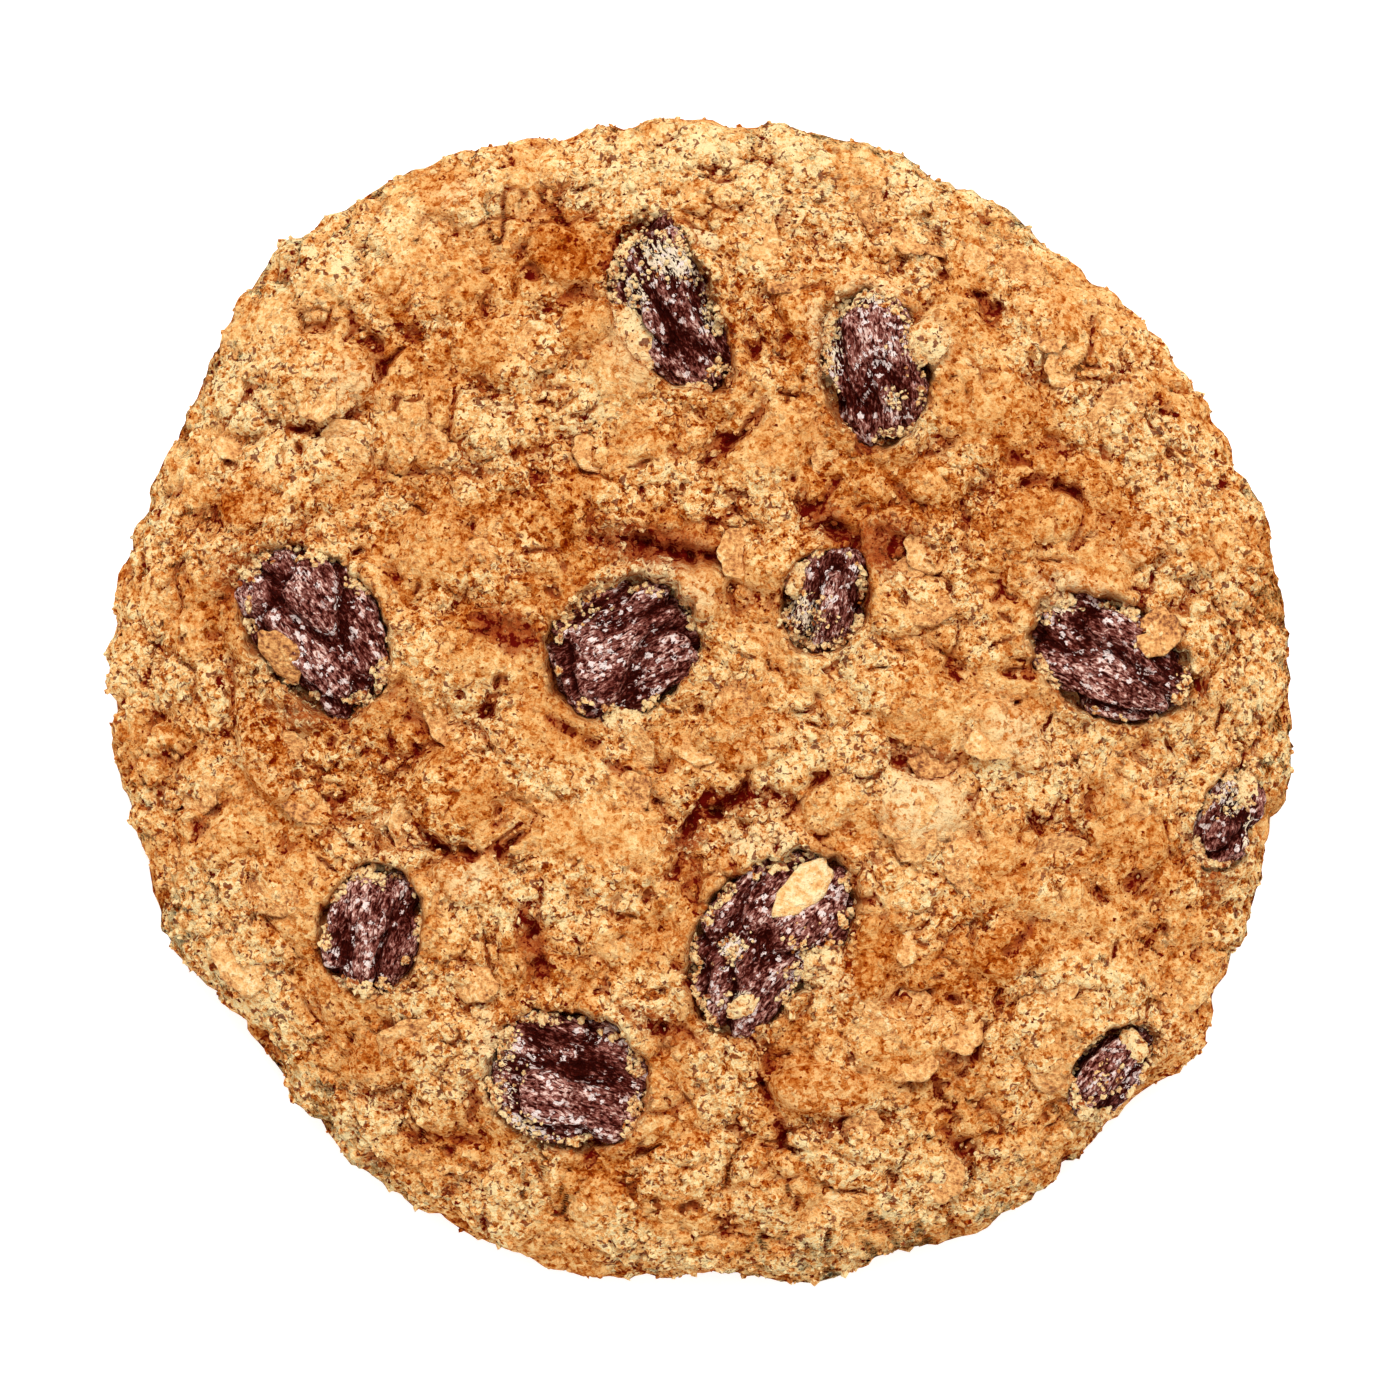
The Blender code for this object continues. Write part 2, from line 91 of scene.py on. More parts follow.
# Lumps that can be told apart: x, y, length, width, turn in degrees, rise.
LUMPS = (
    (-27, 23.2, 8.8, 6, -8, 1),
    (-19.3, 29.3, 9.4, 5.2, 0, 0.7),
    (-14, 25, 9.6, 4.8, -6, 0.6),
    (-8.2, 26.6, 4.2, 3.6, 20, 0.8),
    (-5.4, 23.3, 4.6, 5.4, 0, 0.9),
    (4.4, 17.4, 8.4, 3.8, 38, 0.8),
    (-2.8, 18.8, 6.2, 4.4, 0, 0.5),
    (-9, 14, 7.4, 4.6, -8, 0.6),
    (-18, 10.4, 7, 5, -30, 0.7),
    (5.4, 9.7, 7, 4.4, 12, 0.8),
    (-0.6, 7.6, 4.6, 4.4, 0, 0.9),
    (-18.4, 3.4, 7.6, 6, -30, 0.8),
    (-10.4, -2.8, 11, 6.2, -38, 0.8),
    (-17.4, -6.9, 7.4, 7, 0, 1),
    (-34.6, -10.6, 6.2, 4.6, 20, 0.6),
    (-7, -10.6, 11.2, 7, -6, 0.8),
    (3, -1.4, 8.2, 3.8, 20, 0.8),
    (15.6, -0.2, 8.2, 6, -12, 0.9),
    (15.6, -7.6, 6.8, 5, 14, 1),
    (28.2, 9, 6.2, 3.6, -20, 0.7),
    (23.4, 12.6, 8, 4.2, 6, 0.6),
    (35.2, 11.6, 6, 6, 0, 0.6),
    (14.8, -24.6, 8.2, 4.8, 14, 0.8),
    (25.8, -24, 6.4, 6, 0, 0.7),
    (12, -18.4, 8.6, 4, 62, 0.8),
    (33.6, -27, 5, 4, 40, 0.8),
    (21.6, -12.4, 9, 6.4, 20, 0.5),
    (30.8, -9, 7, 6, 0, 0.6),
    (20, 20.6, 9, 6.6, -20, 0.6),
    (-26.6, 15.6, 8, 5.2, 10, 0.6),
)
LUMP_EDGE_WANDER = 0.2
LUMP_FULLNESS, LUMP_STEEPNESS = 2.6, 0.6

# Oat flakes that lie bare on the crust, in the same order. Each is flat, with a crisp edge.
FLAKES = (
    (-17.5, 36.3, 5, 3.6, 16, 0.6),
    (22.1, -2.5, 6.2, 3.4, -46, 0.8),
    (31.4, 11.4, 3.8, 3.2, 60, 0.8),
    (-30.8, -3.8, 7.2, 3.4, -72, 0.8),
    (-16.2, -12.7, 5, 3.6, -10, 0.8),
    (8.6, -27.6, 7, 3.6, -6, 0.9),
    (14.6, 24.9, 3.8, 3.2, 40, 0.9),
    (4, -2.9, 5.6, 3.4, 24, 0.7),
    (34.6, -24.4, 4.4, 3.2, 62, 0.5),
    (-9.8, 31.6, 5.2, 3.6, -34, 0.5),
    (21.8, -17.8, 5.2, 3.8, 12, 0.5),
    (-32.2, 14.4, 5, 3.6, 70, 0.5),
    (24.6, 27.6, 5.2, 3.8, -38, 0.5),
    (-22.4, -25.6, 5, 3.6, 34, 0.5),
)
FLAKE_EDGE = 0.16

# Creases, each a shallow arc: x, y of the chord's middle, length, heading in degrees, bulge
# to the left of the heading, depth, half-width.
CREASES = (
    (-27.9, 21.8, 10.1, -8, -2.7, 1.3, 0.45),
    (-23.5, 24, 6.1, 102, -1, 0.9, 0.4),
    (-3.4, 31.3, 8.2, 16, 2.2, 1.2, 0.5),
    (-14.7, 33.2, 9.6, -14, -0.6, 0.6, 0.5),
    (20, 28.3, 6.1, -19, 0, 0.6, 0.45),
    (2.3, 18.7, 8.6, 45, -0.4, 0.9, 0.45),
    (-2.5, 10.7, 11.7, -12, 0, 1.4, 0.65),
    (1.8, 12.8, 4.6, 39, 0, 0.8, 0.45),
    (9.3, 10.3, 9.4, -57, 1.1, 1.6, 0.6),
    (14.1, 10.7, 4.6, -28, 0, 1, 0.9),
    (-13.7, 4.8, 6.3, -31, 0, 0.9, 1.1),
    (-14.7, 0.1, 3.7, 66, 0, 1.4, 0.45),
    (-19.6, -3.2, 2.7, 12, 0, 1.1, 0.45),
    (-16.6, -8.2, 9.2, -8, -2.8, 1.1, 0.45),
    (-14.3, -7, 4.5, -86, 0, 0.8, 0.4),
    (-7.6, -4.5, 16.4, -39, 1.1, 0.8, 0.45),
    (3, -8.9, 8.6, 14, 2.1, 1.4, 0.75),
    (-2.7, -12.4, 5.5, 55, -0.3, 1, 0.45),
    (-11.7, -17.5, 6.4, -79, 0, 1, 0.6),
    (0.9, -21.4, 9, -50, -0.9, 1.1, 0.5),
    (-2.9, -23.3, 9.2, -21, 0.3, 0.8, 0.45),
    (5.2, -29.2, 8.8, -70, 0, 1, 0.45),
    (9.7, -30, 5.4, -6, 0, 0.9, 0.45),
    (16.2, -3.1, 6.3, 13, -1.9, 1.3, 0.5),
    (24.5, 14.6, 6.1, -3, 1, 0.9, 0.45),
    (16.2, -21.9, 8.3, -5, 0.9, 0.8, 0.45),
    (18.4, -25.2, 7.1, 56, -0.7, 0.9, 0.45),
    (19, -31.7, 6, -33, 0, 0.8, 0.45),
    (-34.7, -8.4, 5.1, 45, 0.4, 0.8, 0.4),
    (22.7, -16.7, 3.6, 45, 0, 1, 0.5),
)
CREASE_WANDER = 0.5

# Raisins pressed into the dough: x, y, length, width, thickness, turn, tilt and roll in
# degrees, bend, depth of the middle under the crust, and the share of its outline that shows.
RAISINS = {
    "raisin_01": (-2.1, 27.9, 12.8, 7.2, 5.2, -66, 5, 0, 1.1, 1.5, 0.93),
    "raisin_02": (12.3, 23.6, 11, 7.4, 5.4, -81, 0, 6, 0, 1.6, 0.93),
    "raisin_03": (-27.4, 5, 13.1, 8.8, 5.6, -53, -4, 4, -0.5, 1.7, 0.94),
    "raisin_04": (-5.5, 3.7, 11, 9.6, 5.6, 28, 4, -4, 0, 1.7, 0.93),
    "raisin_05": (8.8, 7, 8, 6.4, 5, 76, -10, 10, 0, 1.9, 0.86),
    "raisin_06": (29, 3, 12.2, 8, 5.4, -29, -4, 4, 0.4, 1.6, 0.94),
    "raisin_07": (37.6, -8.6, 7.8, 4.8, 3.8, 70, 2, 32, 0.5, 0.9, 0.9),
    "raisin_08": (-23.3, -16.3, 9.2, 7.2, 5, 76, 6, 0, 0, 1.6, 0.92),
    "raisin_09": (4.9, -17, 14.5, 8.8, 5.6, 49, 4, 0, -0.9, 1.6, 0.94),
    "raisin_10": (-9.4, -26.9, 11.3, 9.4, 5.6, -20, 4, -4, 0, 1.7, 0.94),
    "raisin_11": (29.4, -26.4, 8, 5, 4, 52, 2, 24, -0.4, 0.9, 0.9),
}
# The crust round a raisin, with places as shares of the raisin's outline.
LIP_RISE = 0.55
LIP_CREST, LIP_WIDTH, LIP_REACH = 1.22, 0.16, 1.64
BED_EDGE, BED_DEPTH = 1.17, 0.35
SEAM_DEPTH, SEAM_HALF_WIDTH = 0.7, 0.07
# Half-width of the red-brown ring at a raisin's outline, partly a stain and partly painted shade.
JUICE_AND_SHADE_HALF_WIDTH = 0.16
OUTLINE_WANDER = 0.09

# Where the crust is cream, as bare oat and flour, or red-brown: x, y, length, width, turn in degrees,
# strength.
PALE_PATCHES = (
    (-24.9, 22.6, 5.4, 4.4, -20, 0.6),
    (-17.5, 36.3, 4.2, 2.8, 16, 1),
    (22.2, -2.3, 6.2, 3.8, -46, 0.8),
    (15.8, -7.5, 7.4, 6.6, 14, 1),
    (31.4, 11.4, 4.4, 3.6, 60, 0.6),
    (26.4, 7.9, 7.6, 3, -16, 0.8),
    (-16.3, -12.6, 5.4, 3.2, -10, 0.8),
    (-3.9, 8.8, 7, 2.6, 8, 0.9),
    (-0.2, 7.4, 3.6, 3.4, 0, 0.8),
    (-14.6, -25.8, 2.4, 9, 8, 0.9),
    (-11.8, -30.6, 8, 2.2, -28, 0.6),
    (8.2, 25.2, 2, 8, 4, 0.9),
    (12.2, 29.2, 6, 2, -8, 0.7),
    (16.3, 25.2, 4, 4.4, 0, 0.8),
    (9.8, -19.6, 3.4, 6, 30, 0.5),
    (-5, 24.6, 4, 5.6, 10, 0.5),
    (3.8, -9.9, 8, 2.6, 10, 0.6),
    (11, 8.6, 2, 4, 0, 0.6),
    (34, -24.6, 5, 3.4, 60, 0.5),
)
STAINS = (
    (2.9, -7.5, 7.4, 3, 8, 0.45),
    (-0.9, -9.9, 3.6, 2.2, 20, 1),
    (-3, 10.8, 12, 4, -8, 0.9),
    (-13.4, 5, 6.4, 3.4, -30, 0.8),
    (13.4, 10.8, 7, 5.4, -20, 0.8),
    (9, 12.6, 4, 3.4, -50, 0.8),
    (15.4, -4, 7.4, 1.8, -4, 0.8),
    (18.4, -25, 4, 3, 50, 0.5),
    (-3.4, -22.8, 8, 2.6, -24, 0.6),
    (36.8, -12.6, 3, 5, 0, 0.7),
    (-11.7, -17.8, 2.6, 6, 0, 0.6),
    (-22.4, -9.4, 3, 6, 20, 0.4),
    (-28, -1, 4.6, 3, 0, 0.7),
    (-33, 9, 4, 6, -20, 0.5),
)

# Broad browner and lighter areas across the crust, in the same order: below 0 is browner.
BAKE_TONES = (
    (-8.5, 32.5, 6, 6, 0, -0.7),
    (-19, 26.5, 13, 5, 20, -0.6),
    (4.5, 29, 9, 13, 20, -0.8),
    (0.5, 22.5, 4.5, 7, 0, -0.8),
    (-8.5, 14, 12, 7, 0, -1),
    (-1, 12, 16, 4, 0, -0.8),
    (-11, 8, 10, 9, 0, -0.5),
    (-16, 6, 10, 4, -25, -0.8),
    (-32.5, 11, 8, 10, 0, -1),
    (-36, 3, 8, 10, 0, -0.5),
    (-28.5, -1, 6, 6, 0, -1),
    (-24, -5.5, 14, 6, -15, -0.8),
    (12.5, 11, 8, 7, 0, -1),
    (12, 18, 8, 8, 0, -0.6),
    (19.5, 12, 8, 7, 0, -0.7),
    (28, 16, 16, 9, 0, -0.5),
    (38.8, 7, 5, 10, 0, -0.9),
    (37, -13.5, 7, 7, 0, -1),
    (20, -21.5, 6, 9, 0, -1),
    (12, -18.8, 5, 7, -20, -1),
    (-17.6, -6, 6, 8, 0, -0.4),
    (-22, -18, 14, 4, 0, -0.6),
    (-12, -17.5, 10, 4, -20, -0.7),
    (4, -24, 10, 7, 0, -0.6),
    (-5, -33.5, 26, 5, 0, -0.9),
    (-10, -22, 6, 4, 0, -0.4),
    (-26, -27, 10, 6, 30, -0.3),
    (30, -11, 10, 4, 0, -0.3),
    (11, -30, 10, 4, 0, -0.5),
    (-21, 33, 9, 8, 0, 0.7),
    (-26, 23.5, 8, 5, 0, 0.5),
    (-28.5, 18, 10, 6, 0, 0.5),
    (-6, 23, 11, 4.5, 50, 0.7),
    (15, 25.5, 7, 6, 0, 0.7),
    (4.5, 18.5, 9, 4.5, 35, 0.6),
    (16, -7.5, 8, 8, 0, 0.9),
    (21.5, -2, 8, 7, 0, 0.9),
    (6.5, -12.5, 6, 6, 0, 0.9),
    (16, -13, 7, 6, 0, 0.7),
    (-15.5, -13, 8, 4.5, 20, 0.6),
    (-7, -8.5, 10, 9, 0, 0.5),
    (33, -5, 10, 7, 0, 0.6),
    (29.5, -17, 8, 8, 0, 0.6),
    (25, -24, 6, 9, 0, 0.5),
    (12, -23, 8, 4, 0, 0.4),
    (4.5, 6, 7, 7, 0, 0.6),
    (-18, 3, 11, 4, -25, 0.5),
    (11, -1, 5, 5, 0, 0.5),
    (-14, -27, 4.5, 6, 0, 0.6),
    (27.5, 9.5, 9, 4, -20, 0.6),
    (2, 39.5, 52, 8, 0, 0.8),
    (26, 33, 18, 8, -42, 0.7),
    (-29, 29, 14, 7, 46, 0.4),
)
MOST_TONE = 1.2
# The rim is paler near the top and browner low down, partly from the tray and partly as painted shade
# near the table: heights where each begins and is full.
RIM_TONE, RIM_HEIGHTS = 0.4, (4, 8)
SIDE_TONE, SIDE_HEIGHTS = -1.3, (2, 6)
# Shares of the radius over which the top's crumb gives way to the rim's, and the rim's to the
# bare underside.
TOP_ENDS = (0.90, 0.995)
RIM_ENDS = (0.88, 0.99)


def smooth_step(low, high, value):
    """0 below low, 1 above high and an even S between them."""
    share = np.clip((value - low) / (high - low), 0.0, 1.0)
    return share * share * (3.0 - 2.0 * share)


def noise_at(points, size, seed):
    """Smooth noise from about -1 to 1 whose swells are size apart, one value for each point."""
    shift = Vector((seed * 17.3, seed * 5.9, seed * 11.1))
    return np.array([noise.noise(Vector(point) / size + shift) for point in points])


def cells_at(points, size, seed):
    """Distances to the nearest and the second of scattered points that lie size apart."""
    shift = Vector((seed * 7.7, seed * 13.1, seed * 3.3))
    found = [noise.voronoi(Vector(point) / size + shift)[0][:2] for point in points]
    return np.array(found).T


def pebbles_at(points, size, seed):
    """Rounded grains side by side: near 1 on a crown, 0 in the crease between, and the crease."""
    nearest, second = cells_at(points, size, seed)
    crease = np.minimum(1.0, (second - nearest) / 0.45)
    seam = np.exp(-(((second - nearest) * size / SEAM_WIDTH) ** 2))
    return (1.0 - nearest**2) * np.sqrt(crease * (2.0 - crease)), seam


def edge_radius(headings):
    """How far the cookie's edge is from its middle, at headings in radians."""
    degrees = np.degrees(headings)
    radius = np.full_like(degrees, MEAN_RADIUS)
    for centre, change, half_width in EDGE_SWELLS:
        away = (degrees - centre + 180.0) % 360.0 - 180.0
        radius += change * np.exp(-((away / half_width) ** 2))
    ring = np.stack([np.cos(headings), np.sin(headings), 0 * headings], axis=1)
    return radius + EDGE_CRUMBLE * noise_at(ring * EDGE_CRUMBLES, 1.0, 4)


def crown_height(share):
    """Height of the smooth crust at a share of the way from the middle to the edge."""
    dome = SHOULDER_HEIGHT + (CENTRE_HEIGHT - SHOULDER_HEIGHT) * (1.0 - share**2)
    return WIDEST_HEIGHT + (dome - WIDEST_HEIGHT) * np.sqrt(1.0 - share**RIM_SQUARENESS)


def tuck_height(share):
    """Height of the underside, flat until it turns up into the rim."""
    return WIDEST_HEIGHT * (1.0 - np.sqrt(1.0 - share**TUCK_SQUARENESS))


def profile():
    """Shares of the radius and heights from the crown round the rim to the underside's middle.

    The third row is how much of the surface lies before each point, to spread a mesh evenly.
    """
    turn = np.linspace(0.0, math.pi / 2, 400)
    out = np.sin(turn) ** (2.0 / RIM_SQUARENESS)
    share = np.concatenate([np.linspace(0, out[1], 60)[:-1], out[1:]])
    back = (np.sin(turn) ** (2.0 / TUCK_SQUARENESS))[::-1]
    under = np.concatenate([back[:-1], np.linspace(back[-2], 0.0, 60)[1:]])
    heights = np.concatenate([crown_height(share), tuck_height(under)])
    shares = np.concatenate([share, under])
    weight = np.concatenate([np.ones(len(share)), np.full(len(under), UNDERSIDE_SHARE)])
    steps = np.hypot(np.diff(shares) * MEAN_RADIUS, np.diff(heights))
    rings = (shares[1:] + shares[:-1]) / 2 * steps * weight[1:]
    covered = np.concatenate([[0.0], np.cumsum(rings)]) / rings.sum()
    return shares, heights, covered


def in_ellipse(x, y, centre_x, centre_y, length, width, turn):
    """Place along and across an ellipse, as shares of its half-length and half-width."""
    angle = math.radians(turn)
    along = (x - centre_x) * math.cos(angle) + (y - centre_y) * math.sin(angle)
    across = (y - centre_y) * math.cos(angle) - (x - centre_x) * math.sin(angle)
    return along * 2 / length, across * 2 / width


def in_ellipses(x, y, table):
    """Place along and across the ellipse of each row of a table, and the row's last value."""
    for *ellipse, value in table:
        yield *in_ellipse(x, y, *ellipse), value


def named_lumps(x, y, wander):
    """Height of the lumps that can be told apart, each a low dome with a steep edge."""
    height = np.zeros_like(x)
    for along, across, rise in in_ellipses(x, y, LUMPS):
        reach = np.hypot(along, across) * (1.0 + LUMP_EDGE_WANDER * wander)
        dome = rise * np.clip(1.0 - reach**LUMP_FULLNESS, 0.0, 1.0) ** LUMP_STEEPNESS
        height = np.maximum(height, dome)
    return height


def named_flakes(x, y):
    """Height of the oat flakes, each a flat plate whose edge drops off within its own rim."""
    height = np.zeros_like(x)
    for along, across, rise in in_ellipses(x, y, FLAKES):
        reach = np.hypot(along, across)
        plate = rise * (1.0 - smooth_step(1.0 - FLAKE_EDGE, 1.0 + FLAKE_EDGE, reach))
        height = np.maximum(height, plate)
    return height


def creases(x, y):
    """Depth of the creases, each a groove along a shallow arc that fades out at its ends."""
    depth = np.zeros_like(x)
    for mid_x, mid_y, length, heading, bulge, deep, half_width in CREASES:
        along, across = in_ellipse(x, y, mid_x, mid_y, length, 2.0, heading)
        arc = bulge * (1.0 - along**2)
        slope = 4.0 * bulge * along / length
        away = np.abs(across - arc) / np.sqrt(1.0 + slope**2)
        fade = np.clip(1.0 - along**4, 0.0, 1.0)
        depth = np.maximum(depth, deep * fade * np.exp(-((away / half_width) ** 2)))
    return depth


def crust_height(x, y):
    """The crust's height without its crumb, which is what a raisin is sunk into."""
    share = np.minimum(np.hypot(x, y) / edge_radius(np.arctan2(y, x)), 0.999)
    flat = np.stack([x, y, 0 * x], axis=1)
    return crown_height(share) + SWELL_RISE * noise_at(flat, SWELL_SIZE, 1)


def raisin_middle(name):
    """The middle of a raisin, under the crust above it."""
    x, y = RAISINS[name][:2]
    sink = RAISINS[name][9]
    return Vector((x, y, float(crust_height(np.array([x]), np.array([y]))[0]) - sink))


def raisin_reach(name, x, y):
    """Distance from a raisin's middle as a share of the outline that shows."""
    mid_x, mid_y, length, width, _, turn, _, _, bend, _, shows = RAISINS[name]
    along, across = in_ellipse(x, y, mid_x, mid_y, length, width, turn)
    across = across - bend * (along**2 - 0.4) * 2 / width
    return np.hypot(along, across) / shows


def press_in_raisins(x, y, height, ragged):
    """Lowers the crust to a bed under each raisin and raises a ragged lip round it."""
    for name in RAISINS:
        reach = raisin_reach(name, x, y) + ragged
        lip = LIP_RISE * np.exp(-(((reach - LIP_CREST) / LIP_WIDTH) ** 2))
        bed = raisin_middle(name).z - BED_DEPTH
        rim = smooth_step(1.0, BED_EDGE, reach)
        eased = height * rim + bed * (1.0 - rim)
        height = np.where(reach < LIP_REACH, eased + lip, height)
    return height


def crumb(points, smooth):
    """Relief of the crumb as in the solid, the open seams in it and the places bent for it."""
    warp = np.stack([noise_at(points, WARP_SIZE, seed) for seed in (6, 7, 8)], axis=1)
    warped = points + WARP_REACH * warp
    lumps, lump_seams = pebbles_at(warped, LUMP_SIZE, 2)
    pebbles, pebble_seams = pebbles_at(warped, PEBBLE_SIZE, 3)
    relief = LUMP_RISE * (lumps - MEAN_PEBBLE) + PEBBLE_RISE * (pebbles - MEAN_PEBBLE)
    open_here = smooth_step(0.0, 0.35, noise_at(points, 2.6, 25))
    seams = open_here * np.maximum(0.6 * lump_seams, 0.5 * pebble_seams)
    return relief * (1.0 - LUMP_CALM * smooth), seams * (1.0 - smooth), warped


def fine_crumb(warped, smooth):
    """Grit, short cracks and open pits that are too fine for the solid."""
    ragged = warped + 0.35 * noise_at(warped, 0.9, 17)[:, None]
    sandy = 0.35 + 0.65 * smooth_step(-0.25, 0.3, noise_at(warped, 5.2, 18))
    grit = GRIT_RISE * (pebbles_at(ragged, GRIT_SIZE, 11)[0] - 0.5)
    grain = GRAIN_RISE * (pebbles_at(ragged, GRAIN_SIZE, 12)[0] - 0.5)
    nearest, second = cells_at(ragged, CRACK_SIZE, 13)
    broken = smooth_step(0.15, 0.35, noise_at(warped, 1.8, 14))
    cracks = CRACK_DEPTH * broken * np.exp(-(((second - nearest) / CRACK_WIDTH) ** 2))
    nearest, second = cells_at(ragged, PIT_SIZE, 15)
    chosen = smooth_step(-0.12, 0.1, noise_at(warped, 3.1, 16))
    pits = PIT_DEPTH * chosen * (1.0 - smooth_step(0.0, PIT_REACH, nearest))
    gone = np.maximum(cracks, pits) * (1.0 - 0.75 * smooth)
    return (grit + grain) * (1.0 - 0.6 * smooth) * sandy, gone, sandy * (1.0 - 0.5 * smooth)


def rings_round_raisins(x, y, ragged, half_width):
    """Nearness to the outline of a raisin: 1 on it, and gone within about two half-widths."""
    nearness = np.zeros_like(x)
    for name in RAISINS:
        reach = raisin_reach(name, x, y) + ragged
        nearness = np.maximum(nearness, np.exp(-(((reach - 1.0) / half_width) ** 2)))
    return nearness


def patches(x, y, table):
    """Strength of the nearest patch of a table, full inside it and gone a little outside."""
    strength = np.zeros_like(x)
    for along, across, most in in_ellipses(x, y, table):
        inside = 1.0 - smooth_step(0.35, 1.15, np.hypot(along, across))
        strength = np.maximum(strength, most * inside)
    return strength


def bake_tone(x, y):
    """How much lighter or browner the crust is than its mean, from about -1 to 1."""
    tone = np.zeros_like(x)
    for along, across, change in in_ellipses(x, y, BAKE_TONES):
        tone += change * np.exp(-(along**2 + across**2))
    return np.clip(tone, -MOST_TONE, MOST_TONE)


def dough_surface(directions):
    """Where each direction of a unit sphere lands on the cookie, and what the crust is there."""
    shares, heights, covered = profile()
    before = (1.0 - directions[:, 2]) / 2
    share = np.interp(before, covered, shares)
    under = before > covered[np.argmax(shares)]
    headings = np.arctan2(directions[:, 1], directions[:, 0])
    radius = edge_radius(headings)
    x = radius * share * np.cos(headings)
    y = radius * share * np.sin(headings)
    z = np.interp(before, covered, heights)

    flat = np.stack([x, y, 0 * x], axis=1)
    on_top = np.where(under, 0.0, 1.0 - smooth_step(*TOP_ENDS, share))
    flakes = named_flakes(x, y)
    lumps = np.maximum(named_lumps(x, y, noise_at(flat, 2.2, 5)), flakes) * on_top
    smooth = np.clip(lumps + flakes, 0.0, 1.0)
    relief, seams, warped = crumb(np.stack([x, y, z], axis=1), smooth)
    fine, gone, sandy = fine_crumb(warped, smooth)
    gone = np.maximum(gone, seams)
    x_off = CREASE_WANDER * noise_at(flat, 2.6, 9) + 0.4 * noise_at(flat, 0.9, 19)
    y_off = CREASE_WANDER * noise_at(flat, 2.6, 10) + 0.4 * noise_at(flat, 0.9, 20)
    broken = 0.45 + 0.75 * smooth_step(-0.3, 0.4, noise_at(flat, 1.5, 21))
    broken = broken + 0.5 * noise_at(flat, 0.6, 26)
    grooves = creases(x + x_off, y + y_off) * on_top
    swell = SWELL_RISE * noise_at(flat, SWELL_SIZE, 1) * on_top
    top = z + swell + (relief + lumps) * on_top - grooves * broken
    ragged = OUTLINE_WANDER * (noise_at(flat, 2.3, 23) + noise_at(flat, 0.9, 24))
    top = np.where(on_top > 0.3, press_in_raisins(x, y, top, ragged), top)
    gaping = smooth_step(-0.1, 0.4, noise_at(flat, 1.4, 22)) * on_top
    seam = SEAM_DEPTH * gaping * rings_round_raisins(x, y, ragged, SEAM_HALF_WIDTH)
    # A red-brown ring round each raisin's outline, partly a stain from the raisin and partly painted
    # shade in the seam; it also keeps pale patches out of that shade.
    ring_patchiness = 0.6 + 0.4 * smooth_step(-0.4, 0.1, noise_at(flat, 3.0, 27))
    juice_and_shade_ring = ring_patchiness * rings_round_raisins(x, y, ragged, JUICE_AND_SHADE_HALF_WIDTH)
    top = top + (fine - gone) * on_top - 0.4 * seam

    bare = np.where(under, smooth_step(*RIM_ENDS, share), 1.0)
    outward = (relief + fine - gone) * (1.0 - on_top) * bare
    pocks = np.where(under, 0.5 * gone * (1.0 - bare), 0.0)
    low = np.where(under, z, top) - BASE_TRIM
    places = np.stack([
        x + outward * np.cos(headings),
        y + outward * np.sin(headings),
        np.maximum(low, 0.0) + pocks,
    ], axis=1)
    rim_tone = RIM_TONE * smooth_step(0.8, 0.95, share) * smooth_step(*RIM_HEIGHTS, z)
    rim_tone = rim_tone + SIDE_TONE * (1.0 - smooth_step(*SIDE_HEIGHTS, z))
    pale = np.maximum(patches(x, y, PALE_PATCHES), 0.25 * np.clip(flakes, 0.0, 1.0))
    tray = 1.0 - 0.6 * smooth_step(0.9, 1.0, share)
    crust = {
        # Crown and hollow carry painted light and shade: the material pales raised crumb and paints
        # deep brown to near-black shade into grooves, cracks, pits and raisin seams.
        "crown": np.clip(0.5 + 0.42 * (relief + lumps + fine), 0.0, 1.0),
        "hollow": np.clip(grooves * broken + gone + seam, 0.0, 1.2) / 1.2,
        "sandy": sandy,
        "tone": bake_tone(x, y) + rim_tone,
        "pale": pale * on_top * (1.0 - 0.85 * juice_and_shade_ring),
        "stain": np.maximum(patches(x, y, STAINS), 0.85 * juice_and_shade_ring) * on_top,
        "smooth": smooth,
        "base": np.where(under, tray, 0.4 * (1.0 - z / WIDEST_HEIGHT)),
    }
    return places, crust


def mesh_from_sphere(name, subdivisions, surface):
    """A mesh and its facts, made by moving an even sphere's points to where surface puts them."""
    shape = bmesh.new()
    bmesh.ops.create_icosphere(shape, subdivisions=subdivisions, radius=1.0)
    directions = np.array([vert.co.normalized() for vert in shape.verts])
    places, facts = surface(directions)
    for vert, place in zip(shape.verts, places):
        vert.co = place
    bmesh.ops.scale(shape, vec=(MM, MM, MM), verts=shape.verts)
    bmesh.ops.recalc_face_normals(shape, faces=shape.faces)
    mesh = bpy.data.meshes.new(name)
    shape.to_mesh(mesh)
    shape.free()
    for fact, values in facts.items():
        mesh.attributes.new(fact, "FLOAT", "POINT").data.foreach_set("value", values.astype(np.float32))
    mesh.shade_smooth()
    return mesh


def put_in_scene(name, mesh, material):
    """An object for the mesh that rides with the cookie, with the given material."""
    mesh.materials.append(material)
    piece = bpy.data.objects.new(name, mesh)
    bpy.context.scene.collection.objects.link(piece)
    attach(piece, "root")
    return piece


